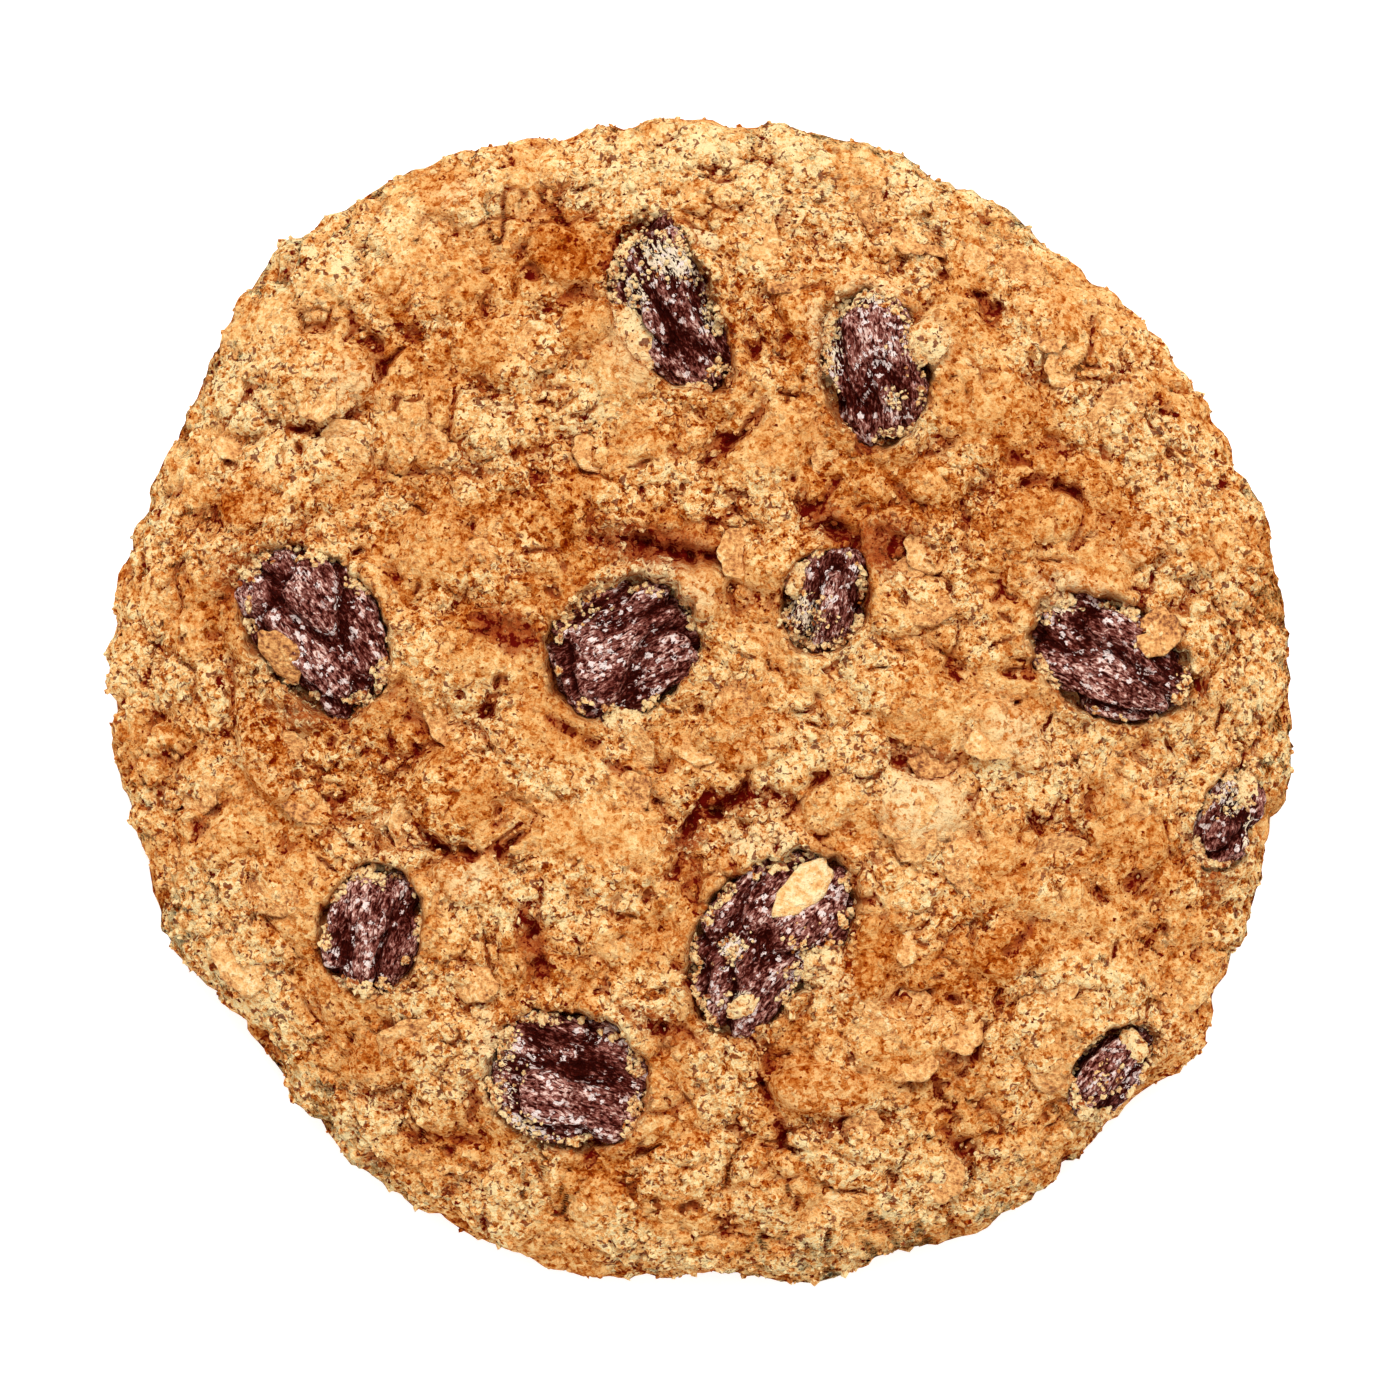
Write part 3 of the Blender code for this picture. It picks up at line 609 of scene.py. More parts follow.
class Nodes:
    """A short way to wire a material's nodes: most calls add one and return its output."""

    def __init__(self, name):
        self.material = bpy.data.materials.new(name)
        self.material.use_nodes = True
        self.tree = self.material.node_tree
        self.shader = self.tree.nodes["Principled BSDF"]
        self.place = self.add("ShaderNodeTexCoord", {}).outputs["Object"]

    def feed(self, node, inputs):
        """Puts a value, or another node's output, into each of a node's named inputs."""
        for name, value in inputs.items():
            if isinstance(value, bpy.types.NodeSocket):
                self.tree.links.new(value, node.inputs[name])
            else:
                node.inputs[name].default_value = value

    def add(self, kind, inputs, **settings):
        """A new node with its settings and inputs."""
        added = self.tree.nodes.new(kind)
        for name, value in settings.items():
            setattr(added, name, value)
        self.feed(added, inputs)
        return added

    def finish(self, inputs):
        """Feeds the shader itself and gives the finished material."""
        self.feed(self.shader, inputs)
        return self.material

    def fact(self, name):
        """What the mesh says of each of its points."""
        return self.add("ShaderNodeAttribute", {}, attribute_name=name).outputs["Fac"]

    def noise(self, size, detail=2.0, roughness=0.5, distortion=0.0):
        inputs = {"Vector": self.place, "Scale": 1.0 / (size * MM), "Detail": detail}
        inputs.update({"Roughness": roughness, "Distortion": distortion})
        return self.add("ShaderNodeTexNoise", inputs).outputs["Fac"]

    def bend(self, size):
        """From here on cells are crumpled: their borders wander by up to about half a size."""
        inputs = {"Vector": self.place, "Scale": 2.0 / (size * MM), "Detail": 1.0}
        waves = self.add("ShaderNodeTexNoise", inputs).outputs["Color"]
        inputs = {0: waves, "Scale": size * 0.9 * MM}
        shift = self.add("ShaderNodeVectorMath", inputs, operation="SCALE").outputs[0]
        moved = self.add("ShaderNodeVectorMath", {0: self.place, 1: shift}, operation="ADD")
        self.crumpled = moved.outputs[0]

    def cells(self, size, **settings):
        inputs = {"Vector": self.crumpled, "Scale": 1.0 / (size * MM)}
        return self.add("ShaderNodeTexVoronoi", inputs, **settings).outputs

    def seams(self, size):
        """Distance to the border between crumpled cells, in cell sizes."""
        return self.cells(size, feature="DISTANCE_TO_EDGE")["Distance"]

    def grains(self, size):
        """A random value from 0 to 1 for each crumpled cell."""
        return self.add("ShaderNodeSeparateColor", {0: self.cells(size)["Color"]}).outputs[0]

    def math(self, operation, first, second):
        return self.add("ShaderNodeMath", {0: first, 1: second}, operation=operation).outputs[0]

    def times(self, first, second):
        return self.math("MULTIPLY", first, second)

    def total(self, first, *others):
        for other in others:
            first = self.math("ADD", first, other)
        return first

    def centred(self, value, gain):
        """A pattern from 0 to 1 moved to lie evenly about 0, times a gain."""
        return self.times(self.math("SUBTRACT", value, 0.5), gain)

    def span(self, value, low, high, out_low=0.0, out_high=1.0):
        """Eases from one output to the other as the value goes from low to high."""
        inputs = {"Value": value, "From Min": low, "From Max": high}
        inputs.update({"To Min": out_low, "To Max": out_high})
        eased = self.add("ShaderNodeMapRange", inputs, interpolation_type="SMOOTHSTEP")
        return eased.outputs["Result"]

    def blend(self, share, first, second):
        inputs = {"Factor": share, "A": first, "B": second}
        return self.add("ShaderNodeMix", inputs, data_type="RGBA").outputs["Result"]

    def ramp(self, value, stops):
        made = self.add("ShaderNodeValToRGB", {"Fac": value})
        points = made.color_ramp.elements
        for place, colour in stops[1:-1]:
            points.new(place).color = (*colour, 1.0)
        points[0].position, points[0].color = stops[0][0], (*stops[0][1], 1.0)
        points[-1].position, points[-1].color = stops[-1][0], (*stops[-1][1], 1.0)
        return made.outputs["Color"]

    def bump(self, height, distance):
        inputs = {"Height": height, "Distance": distance * MM, "Strength": 1.0}
        return self.add("ShaderNodeBump", inputs).outputs["Normal"]


# Crust colours, from the near-black red of painted crevice shade to the pale gold of crowns with
# painted light.
CRUST_COLOURS = (
    (0.00, (0.130, 0.005, 0.000)),
    (0.18, (0.330, 0.052, 0.001)),
    (0.36, (0.545, 0.164, 0.025)),
    (0.52, (0.705, 0.312, 0.088)),
    (0.70, (0.815, 0.440, 0.155)),
    (0.86, (0.880, 0.565, 0.238)),
    (1.00, (0.915, 0.690, 0.345)),
)
PALE_CRUMB = (0.880, 0.660, 0.350, 1.0)
STAIN_AND_SHADE_BROWN = (0.340, 0.066, 0.016, 1.0)
PIT_SHADE = (0.165, 0.010, 0.000, 1.0)
CREVICE_SHADE = (0.120, 0.003, 0.001, 1.0)
TRAY_BROWN = (0.420, 0.170, 0.050, 1.0)
# Sizes in mm of the crust's mottling, specks and grains, and of the open pits and hairline slit marks
# painted in as shade.
MOTTLE, SPECK, SAND = 0.66, 0.24, 0.46
OPEN_PITS, SLITS = 0.52, 2.2
# Ramp places of the mean crust and of the painted shade deep in hollows.
MEAN_TOAST, HOLLOW_SHADE_TOAST = 0.605, 0.105


def baked_crust(name):
    """Crust coloured by its relief with painted light and shade: pale gold crowns, orange slopes,
    red-brown to near-black painted shade in the cracks and seams.
    """
    crust = Nodes(name)
    crust.bend(1.0)
    grain = crust.noise(MOTTLE, 2.0, 0.65)
    fine = crust.noise(SPECK, 2.0, 0.75)
    sandy = crust.fact("sandy")
    hollow = crust.fact("hollow")
    crown = crust.fact("crown")
    smooth = crust.fact("smooth")
    speckled = crust.total(
        crust.centred(grain, 1.75),
        crust.centred(fine, 1.5),
        crust.centred(crust.grains(SAND), 0.66),
    )
    # How deep the painted shade is: hollows and low crumb, with random mottle.
    deep = crust.total(
        hollow,
        crust.centred(crown, -0.35),
        crust.centred(grain, 3.4),
        crust.centred(fine, 1.6),
    )
    # Where on the ramp: bake tone and mottle, with painted light on crowns and painted shade in
    # hollows.
    toast_and_painted_light = crust.total(
        crust.span(deep, 0.30, 0.80, MEAN_TOAST, HOLLOW_SHADE_TOAST),
        crust.times(speckled, crust.span(sandy, 0.0, 0.9, 0.45, 1.0)),
        crust.centred(crown, 0.40),
        crust.centred(sandy, 0.30),
        crust.times(smooth, -0.19),
        crust.times(crust.fact("tone"), 0.17),
    )
    colour = crust.ramp(toast_and_painted_light, CRUST_COLOURS)
    pale = crust.times(crust.fact("pale"), crust.span(toast_and_painted_light, 0.30, 0.75))
    colour = crust.blend(crust.times(pale, 0.8), colour, PALE_CRUMB)
    # Red-brown for real stains and raisin rings, and as painted shade down the slopes of hollows.
    stain = crust.math("MAXIMUM", crust.fact("stain"), crust.span(hollow, 0.12, 0.55, 0.0, 0.8))
    stain = crust.times(stain, crust.span(toast_and_painted_light, 1.2, 0.6))
    colour = crust.blend(crust.times(stain, 0.92), colour, STAIN_AND_SHADE_BROWN)
    colour = crust.blend(crust.times(crust.fact("base"), 0.8), colour, TRAY_BROWN)
    # Pits and slit marks are painted shade: near-black red specks where the crust has no real hole.
    pits = crust.span(crust.noise(OPEN_PITS, 1.0, 0.5, 0.8), 0.405, 0.345)
    pits = crust.times(pits, crust.span(sandy, 0.15, 0.6))
    slit_shade = crust.span(crust.seams(SLITS), 0.06, 0.015)
    slit_shade = crust.times(slit_shade, crust.span(crust.noise(1.4), 0.64, 0.70))
    slit_shade = crust.times(slit_shade, crust.span(smooth, 0.9, 0.1))
    hole_shade = crust.math("MAXIMUM", pits, slit_shade)
    colour = crust.blend(crust.times(hole_shade, 0.85), colour, PIT_SHADE)
    # Painted shade: near-black red deep in cracks, seams and hollows.
    colour = crust.blend(crust.span(deep, 0.62, 0.82), colour, CREVICE_SHADE)
    relief = crust.total(crust.times(grain, 0.55), crust.times(fine, 0.45))
    return crust.finish({
        "Base Color": colour,
        "Roughness": 0.85,
        "Specular IOR Level": 0.02,
        "Normal": crust.bump(relief, 0.5),
    })


dough_mesh = mesh_from_sphere("oat_dough", DOUGH_SUBDIVISIONS, dough_surface)
crust_finish = baked_crust("baked_oat_crust")
dough = put_in_scene("oat_dough", dough_mesh, crust_finish)
thinning = dough.modifiers.new("thin out plain areas", "DECIMATE")
thinning.ratio = DOUGH_KEPT_SHARE
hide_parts("dough")

# The raisins
# Dried grapes, flattened and folded lengthwise as they shrank, almost black with a soft gloss.
# Each is its own wrinkled mesh on the shape of its solid, with finer creases across the folds.
RAISIN_SUBDIVISIONS = 6
RAISIN_SQUARENESS = 2.5
WRINKLE_DEPTH = 0.85
WRINKLE_SPACING = 2.9
WRINKLE_STRETCH = 0.38
WRINKLE_SHARPNESS = 0.30
DENT_SIZE, DENT_DEPTH = 4.4, 0.75
FINE_WRINKLE_SIZE, FINE_WRINKLE_DEPTH, FINE_WRINKLE_SHARPNESS = 1.0, 0.22, 0.35
# Sizes in mm of the skin's wrinkles, threads, blotches and flecks, and how long they are drawn.
WRINKLES, THREADS, BLOTCHES, FLECKS = 0.50, 0.19, 1.5, 0.34
DRAWN_OUT = 0.42
# The skin's ramp runs from near-black red up to pale pink; its pale end is partly dry bloom and partly
# painted sheen.
RAISIN_SKIN_AND_SHEEN = (
    (0.00, (0.022, 0.001, 0.000)),
    (0.25, (0.050, 0.003, 0.001)),
    (0.42, (0.115, 0.022, 0.014)),
    (0.60, (0.225, 0.068, 0.050)),
    (0.80, (0.440, 0.185, 0.142)),
    (1.00, (0.860, 0.590, 0.490)),
)
# A near-white painted glint.
PAINTED_GLINT = (0.880, 0.720, 0.660, 1.0)
FLOUR_DUST = (0.940, 0.760, 0.540, 1.0)
# Where flour and crumb have baked onto a skin: x, y, length, width, turn in degrees, strength.
DUSTED = (
    (-2.2, 31.2, 7.4, 3.6, -24, 1),
    (-4.6, 28.6, 2.6, 5, 10, 0.8),
    (9.3, 25, 2.4, 8.4, 4, 0.85),
    (12.2, 28.6, 5.4, 1.8, -6, 1),
    (15.6, 25.2, 3.6, 3.6, 0, 1),
    (13.6, 21.2, 1.8, 1.6, 0, 1),
    (7.3, 6.2, 3.4, 5, 20, 0.85),
    (38, -6.8, 4.4, 4.4, -10, 0.85),
    (38.9, -9.4, 1.4, 4.6, -16, 0.8),
    (0.6, 27.2, 1.8, 6, 12, 0.75),
    (2.2, -17.4, 2.8, 2.6, 40, 1),
    (3, -21, 2.6, 1.6, 20, 0.9),
    (8.2, -18.6, 3.6, 5, 30, 0.8),
    (-13.8, -26, 2.2, 8.4, 10, 0.72),
    (-12.2, -30.2, 5.8, 1.8, -30, 0.9),
    (-9.4, 6.4, 3, 1.6, 30, 0.5),
    (25.4, 6.9, 4.6, 2, -24, 0.9),
    (-23.2, -12.4, 4, 1.4, 0, 0.6),
    (28.4, -27.6, 3, 3, 40, 0.5),
)


def raisin_surface(name):
    """A function that puts a sphere's directions on this raisin's wrinkled skin."""
    _, _, length, width, thickness, turn, tilt, roll, bend, _, _ = RAISINS[name]
    seed = int(name[-2:]) + 20
    half = np.array([length, width, thickness]) / 2
    turned = (
        Matrix.Rotation(math.radians(turn), 3, "Z")
        @ Matrix.Rotation(math.radians(tilt), 3, "Y")
        @ Matrix.Rotation(math.radians(roll), 3, "X")
    )
    middle = np.array(raisin_middle(name)) - np.array([0, 0, BASE_TRIM])

    def surface(directions):
        square = (np.abs(directions) ** RAISIN_SQUARENESS).sum(axis=1, keepdims=True)
        body = directions / square ** (1 / RAISIN_SQUARENESS) * half
        dents = DENT_DEPTH * noise_at(body, DENT_SIZE, seed)
        stretched = body * np.array([WRINKLE_STRETCH, 1.0, 1.0])
        wave = noise_at(stretched + dents[:, None], WRINKLE_SPACING, seed + 1)
        folds = WRINKLE_DEPTH * (1.0 - smooth_step(0.0, WRINKLE_SHARPNESS, np.abs(wave)))
        finer = noise_at(stretched * 1.4 + dents[:, None], FINE_WRINKLE_SIZE, seed + 2)
        puckers = FINE_WRINKLE_DEPTH * (1.0 - smooth_step(0.0, FINE_WRINKLE_SHARPNESS, np.abs(finer)))
        body = body + directions * (dents - folds - puckers)[:, None]
        body[:, 1] += bend * ((body[:, 0] / half[0]) ** 2 - 0.4)
        # Ridge is 1 on the crests and less in the folds; the skin uses it for painted light on ridges
        # and painted shade in folds.
        ridge = 1.0 - np.clip((folds + puckers) / 0.9, 0.0, 1.0)
        places = body @ np.array(turned).T + middle
        facts = {
            "ridge": ridge,
            "along": body[:, 0] + 20.0 * seed,
            "across": body[:, 1],
            "up": body[:, 2],
            "dust": patches(places[:, 0], places[:, 1], DUSTED),
        }
        return places, facts

    return surface


def raisin_skin():
    """Red-black skin in fine lengthwise wrinkles, with painted light on the ridges, pale pink mottling
    that is partly dry bloom and partly painted sheen, and painted glints.
    """
    skin = Nodes("raisin_skin")
    skin.bend(FLECKS)
    axes = (("X", "along", DRAWN_OUT), ("Y", "across", 1.0), ("Z", "up", 1.0))
    strung = {axis: skin.times(skin.fact(fact), gain * MM) for axis, fact, gain in axes}
    skin.place = skin.add("ShaderNodeCombineXYZ", strung).outputs[0]
    wrinkle = skin.noise(WRINKLES, 3.0, 0.7, 1.2)
    thread = skin.noise(THREADS, 2.0, 0.6, 0.6)
    blotch = skin.noise(BLOTCHES, 2.0, 0.5, 0.5)
    flecks = skin.grains(FLECKS)
    # Skin tone: random mottle, with painted light on ridges; its pale end is partly painted sheen.
    tone = skin.total(
        skin.span(thread, 0.44, 0.36, 0.40, 0.10),
        skin.centred(skin.fact("ridge"), 0.45),
        skin.centred(wrinkle, 1.0),
        skin.centred(thread, 2.0),
        skin.centred(flecks, 0.40),
        skin.centred(blotch, 1.1),
    )
    colour = skin.ramp(tone, RAISIN_SKIN_AND_SHEEN)
    # Painted glints: near-white flecks where light would catch the skin.
    glints = skin.times(skin.span(flecks, 0.82, 0.86), skin.span(blotch, 0.42, 0.54))
    glints = skin.times(glints, skin.span(tone, 0.35, 0.5))
    crumbly = skin.total(skin.fact("dust"), skin.centred(wrinkle, 2.0), skin.centred(thread, 1.5))
    dust = skin.span(crumbly, 0.80, 0.96)
    colour = skin.blend(dust, colour, FLOUR_DUST)
    relief = skin.total(skin.times(wrinkle, 0.6), skin.times(thread, 0.4))
    return skin.finish({
        "Base Color": skin.blend(glints, colour, PAINTED_GLINT),
        "Roughness": skin.span(blotch, 0.35, 0.65, 0.3, 0.55),
        "Specular IOR Level": 0.03,
        "Normal": skin.bump(relief, 0.6),
    })


skin_finish = raisin_skin()
raisin_meshes = {}
for raisin_name in RAISINS:
    piece_name = raisin_name.replace("raisin", "dried_raisin")
    mesh = mesh_from_sphere(piece_name, RAISIN_SUBDIVISIONS, raisin_surface(raisin_name))
    raisin = put_in_scene(piece_name, mesh, skin_finish)
    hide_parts(raisin_name)
    raisin_meshes[raisin_name] = mesh

# The crumbs
# Loose and half-baked-in grains of dough over the whole crust, the sandy bite of the cookie.
# Each is a small broken lump sunk about halfway, and all of one size class are one mesh: how
# many, the smallest and the largest in mm, and the seed of their places.
CRUMB_SIZES = {
    "coarse_crumbs": (2600, 0.42, 0.90, 31),
    "fine_crumbs": (9400, 0.24, 0.52, 32),
}
CRUMB_RAGGED = 0.22
RAISIN_CLEARANCE = 0.97
FEWER_BELOW = 6.0


def read_points(mesh):
    """A mesh's points and normals as arrays, in millimetres."""
    places = np.empty(len(mesh.vertices) * 3, dtype=np.float32)
    mesh.vertices.foreach_get("co", places)
    normals = np.empty(len(mesh.vertices) * 3, dtype=np.float32)
    mesh.vertex_normals.foreach_get("vector", normals)
    return places.reshape(-1, 3).astype(float) / MM, normals.reshape(-1, 3).astype(float)


def read_fact(mesh, fact):
    """One of a mesh's facts, as a value for each point."""
    values = np.empty(len(mesh.vertices), dtype=np.float32)
    mesh.attributes[fact].data.foreach_get("value", values)
    return values.astype(float)


def random_turns(draw, count):
    """Even random rotations, as matrices from unit quaternions."""
    spins = [Quaternion(spin).normalized() for spin in draw.normal(size=(count, 4))]
    return np.array([spin.to_matrix() for spin in spins])


def template_ball(subdivisions):
    """Points and faces of a small even ball."""
    shape = bmesh.new()
    bmesh.ops.create_icosphere(shape, subdivisions=subdivisions, radius=1.0)
    points = np.array([vert.co[:] for vert in shape.verts])
    faces = np.array([[vert.index for vert in face.verts] for face in shape.faces])
    shape.free()
    return points, faces


def joined_copies(name, shapes, faces, facts):
    """One mesh of many copies: shapes is copies by points by 3, and facts give one value a copy."""
    copies, points = shapes.shape[:2]
    joined_faces = (faces[None] + (np.arange(copies) * points)[:, None, None]).reshape(-1, 3)
    mesh = bpy.data.meshes.new(name)
    mesh.from_pydata((shapes.reshape(-1, 3) * MM).tolist(), [], joined_faces.tolist())
    for fact, values in facts.items():
        spread = np.repeat(values, points).astype(np.float32)
        mesh.attributes.new(fact, "FLOAT", "POINT").data.foreach_set("value", spread)
    return mesh


dough_places, _ = read_points(dough_mesh)
fact_names = [fact.name for fact in dough_mesh.attributes if fact.data_type == "FLOAT"]
dough_facts = {name: read_fact(dough_mesh, name) for name in fact_names}
clear_of_raisins = np.full(len(dough_places), True)
for raisin_name in RAISINS:
    reach = raisin_reach(raisin_name, dough_places[:, 0], dough_places[:, 1])
    clear_of_raisins &= reach > RAISIN_CLEARANCE


def broken_lumps(draw, sizes):
    """One ragged, oblong lump for each size, as copies by points by 3."""
    ball, _ = template_ball(1)
    count = len(sizes)
    ragged = 1.0 + CRUMB_RAGGED * draw.normal(size=(count, len(ball), 1))
    lumps = ball[None] * np.clip(ragged, 0.5, 1.5) * draw.uniform(0.55, 1.25, size=(count, 1, 3))
    return np.einsum("cij,cpj->cpi", random_turns(draw, count), lumps) * (sizes / 2)[:, None, None]


for crumb_name, (count, smallest, largest, seed) in CRUMB_SIZES.items():
    draw = np.random.default_rng(seed)
    likely = np.clip(dough_places[:, 2] / FEWER_BELOW, 0.0, 1.0) ** 2 * clear_of_raisins
    likely = likely * np.clip(dough_facts["sandy"], 0.05, 1.0)
    likely = likely * (1.0 - np.clip(0.9 * dough_facts["hollow"], 0.0, 0.8))
    spots = draw.choice(len(dough_places), size=count, replace=False, p=likely / likely.sum())
    sizes = smallest + (largest - smallest) * draw.random(count) ** 1.8
    grains = broken_lumps(draw, sizes) + dough_places[spots][:, None, :]
    facts = {fact: values[spots] for fact, values in dough_facts.items()}
    # Crumbs stand proud, so they take a little more painted light and less painted hollow shade.
    facts["crown"] = np.clip(facts["crown"] + 0.08 + 0.25 * draw.normal(size=count), 0.0, 1.0)
    facts["hollow"] = facts["hollow"] * 0.3
    crumb_mesh = joined_copies(crumb_name, grains, template_ball(1)[1], facts)
    put_in_scene(crumb_name, crumb_mesh, crust_finish)

# The crumbs stuck to the raisins
# Bits of pale dough and oat that baked onto the sticky skins, and flour along their edges. They
# lie where the photo shows them: x, y, length, width, turn in degrees, how many, paleness.
STUCK_CRUMBS = (
    (-3.4, 31.2, 6.4, 3.4, -24, 90, 0.8),
    (-4.9, 28.6, 2, 3.4, 0, 50, 0.8),
    (-1.4, 32.2, 5, 1.4, -18, 70, 1),
    (9.1, 25, 1.8, 7.4, 4, 80, 0.8),
    (11.6, 28.4, 5, 1.8, -6, 60, 0.9),
    (15.5, 25.2, 3.4, 3.4, 0, 90, 0.7),
    (13.6, 21.4, 1.6, 1.4, 0, 26, 1),
    (-30, 3.2, 3.6, 2.4, -60, 60, 0.3),
    (-5.2, -1.2, 2.4, 2, 0, 40, 0.4),
    (-8.6, 6.4, 5, 1.6, 20, 40, 0.6),
    (8, 5.6, 3.4, 3, 30, 90, 0.7),
    (6.6, 8.4, 2.4, 3, 0, 40, 0.4),
    (25.6, 6.6, 4.4, 1.8, -24, 70, 0.8),
    (32, 5, 3, 2, 50, 50, 0.3),
    (38, -6.9, 2.6, 3.2, -10, 60, 0.8),
    (0.8, 27.4, 1.2, 5, 12, 34, 0.5),
    (2.4, -17.6, 2.6, 2, 40, 46, 0.9),
    (7.4, -18.4, 3.4, 4.4, 0, 150, 0.5),
    (2, -20.8, 2, 2.6, 10, 24, 0.7),
    (-13.6, -25.4, 1.8, 7, 10, 60, 0.8),
    (-12.4, -30.2, 5.6, 1.6, -30, 50, 0.8),
    (-23, -12.6, 3.6, 1.6, 0, 40, 0.8),
    (28.6, -27, 3, 2, 40, 40, 0.5),
)
STUCK_SIZE = (0.14, 0.46)
STUCK_REACH, STUCK_SPREAD = 1.5, 0.8
STUCK_SEED = 61
# Crumbs in clumps along every raisin's outline: how many for each mm of its length, and where.
EDGE_CRUMBS = 22
EDGE_FROM, EDGE_TO = 0.88, 1.10
EDGE_SIZE = (0.20, 0.62)
EDGE_PALENESS = 0.45
EDGE_CLUMPS = 1.7
# How far round a crumb's middle its height is taken from what lies under it.
FOOTPRINT = 0.3
# Larger bits of dough that overlap a raisin: x, y, length, width, turn, thickness, paleness.
BIT_LUMPINESS, BIT_ROUGHNESS = 0.28, 0.14
DOUGH_BITS = (
    (-5, 25.2, 3.4, 5.6, 10, 1.7, 0.4),
    (0.4, 32.6, 2.6, 1.2, -18, 0.8, 1),
    (16.1, 25.3, 3, 2.8, 10, 1.5, 0.5),
    (8.9, 26.6, 1.5, 4, 5, 1.2, 0.9),
    (7.2, 8.4, 2.8, 2.4, 30, 1.4, 0.3),
    (10.7, 5.2, 1.6, 1.4, 0, 1.2, 1),
    (8.4, -18.2, 3.6, 4.6, 35, 1.8, 0.3),
    (3, -21.6, 2.4, 1.4, 30, 1, 0.6),
    (24.9, 7.6, 3.4, 1.5, -20, 1.2, 0.9),
    (38.9, -6.4, 1.6, 3, 0, 1, 0.6),
    (30.8, -24.6, 1.6, 2.6, 30, 1.2, 0.4),
    (-5.4, -1.6, 3, 1.8, 0, 1.2, 0.4),
)


def nearby(places, x, y, reach):
    """The places within reach of x, y, as seen from above."""
    return places[np.hypot(places[:, 0] - x, places[:, 1] - y) < reach]


raisin_places = np.concatenate([read_points(mesh)[0] for mesh in raisin_meshes.values()])
raisin_normals = np.concatenate([read_points(mesh)[1] for mesh in raisin_meshes.values()])
open_crust = dough_places[clear_of_raisins & (dough_places[:, 2] > 5.0)]
landing = np.concatenate([raisin_places[raisin_normals[:, 2] > 0.1], open_crust])
draw = np.random.default_rng(STUCK_SEED)
ball, ball_faces = template_ball(4)
bits = []
for index, (x, y, length, width, turn, thick, _) in enumerate(DOUGH_BITS):
    lumpy = 1.0 + BIT_LUMPINESS * noise_at(ball * 1.3, 0.7, 70 + index)
    lumpy = lumpy + BIT_ROUGHNESS * noise_at(ball, 0.22, 90 + index)
    bit = ball * lumpy[:, None] * np.array([length, width, thick]) / 2
    height = np.percentile(nearby(landing, x, y, 0.6)[:, 2], 60) + 0.1 * thick
    spin = np.array(Matrix.Rotation(math.radians(turn), 3, "Z"))
    bits.append(bit @ spin.T + np.array([x, y, height]))
# Bits get middling painted light from their crown.
bit_facts = {
    "crown": np.full(len(bits), 0.6),
    "tone": np.full(len(bits), 0.6),
    "pale": np.array([bit[6] for bit in DOUGH_BITS]),
    "sandy": np.full(len(bits), 0.8),
}
bits_mesh = joined_copies("dough_bits", np.array(bits), ball_faces, bit_facts)
bits_mesh.shade_smooth()
put_in_scene("dough_bits", bits_mesh, crust_finish)
landing = np.concatenate([landing, np.concatenate(bits)])

stuck_middles = []
stuck_paleness = []
for x, y, length, width, turn, count, paleness in STUCK_CRUMBS:
    along, across = in_ellipse(landing[:, 0], landing[:, 1], x, y, length, width, turn)
    reach = np.hypot(along, across)
    likely = np.where(reach < STUCK_REACH, np.exp(-((reach / STUCK_SPREAD) ** 2)), 0.0)
    aims = landing[draw.choice(len(landing), size=count, p=likely / likely.sum())]
    under_patch = landing[reach < STUCK_REACH + 0.4]
    for aim in aims:
        heights = nearby(under_patch, *aim[:2], FOOTPRINT)[:, 2]
        stuck_middles.append((*aim[:2], np.percentile(heights, 85)))
        stuck_paleness.append(paleness)
sizes = draw.uniform(*STUCK_SIZE, size=len(stuck_middles))
for raisin_name in RAISINS:
    reach = raisin_reach(raisin_name, landing[:, 0], landing[:, 1])
    edge = landing[(reach > EDGE_FROM) & (reach < EDGE_TO)]
    clumped = smooth_step(-0.15, 0.30, noise_at(edge * [1, 1, 0], EDGE_CLUMPS, 33))
    count = int(EDGE_CRUMBS * RAISINS[raisin_name][2])
    for aim in edge[draw.choice(len(edge), size=count, p=clumped / clumped.sum())]:
        heights = nearby(edge, *aim[:2], FOOTPRINT)[:, 2]
        stuck_middles.append((*aim[:2], np.percentile(heights, 90)))
        stuck_paleness.append(EDGE_PALENESS)
count = len(stuck_middles)
sizes = np.concatenate([sizes, draw.uniform(*EDGE_SIZE, size=count - len(sizes))])
grains = broken_lumps(draw, sizes) + np.array(stuck_middles)[:, None, :]
# Stuck crumbs get strong painted light from a high crown.
facts = {
    "crown": np.clip(0.8 + 0.25 * draw.normal(size=count), 0.0, 1.0),
    "tone": 0.8 * np.array(stuck_paleness),
    "pale": np.array(stuck_paleness) * draw.uniform(0.6, 1.0, size=count),
    "stain": 0.8 * (draw.random(count) < 0.2),
    "sandy": np.full(count, 0.7),
}
stuck_mesh = joined_copies("stuck_crumbs", grains, template_ball(1)[1], facts)
put_in_scene("stuck_crumbs", stuck_mesh, crust_finish)

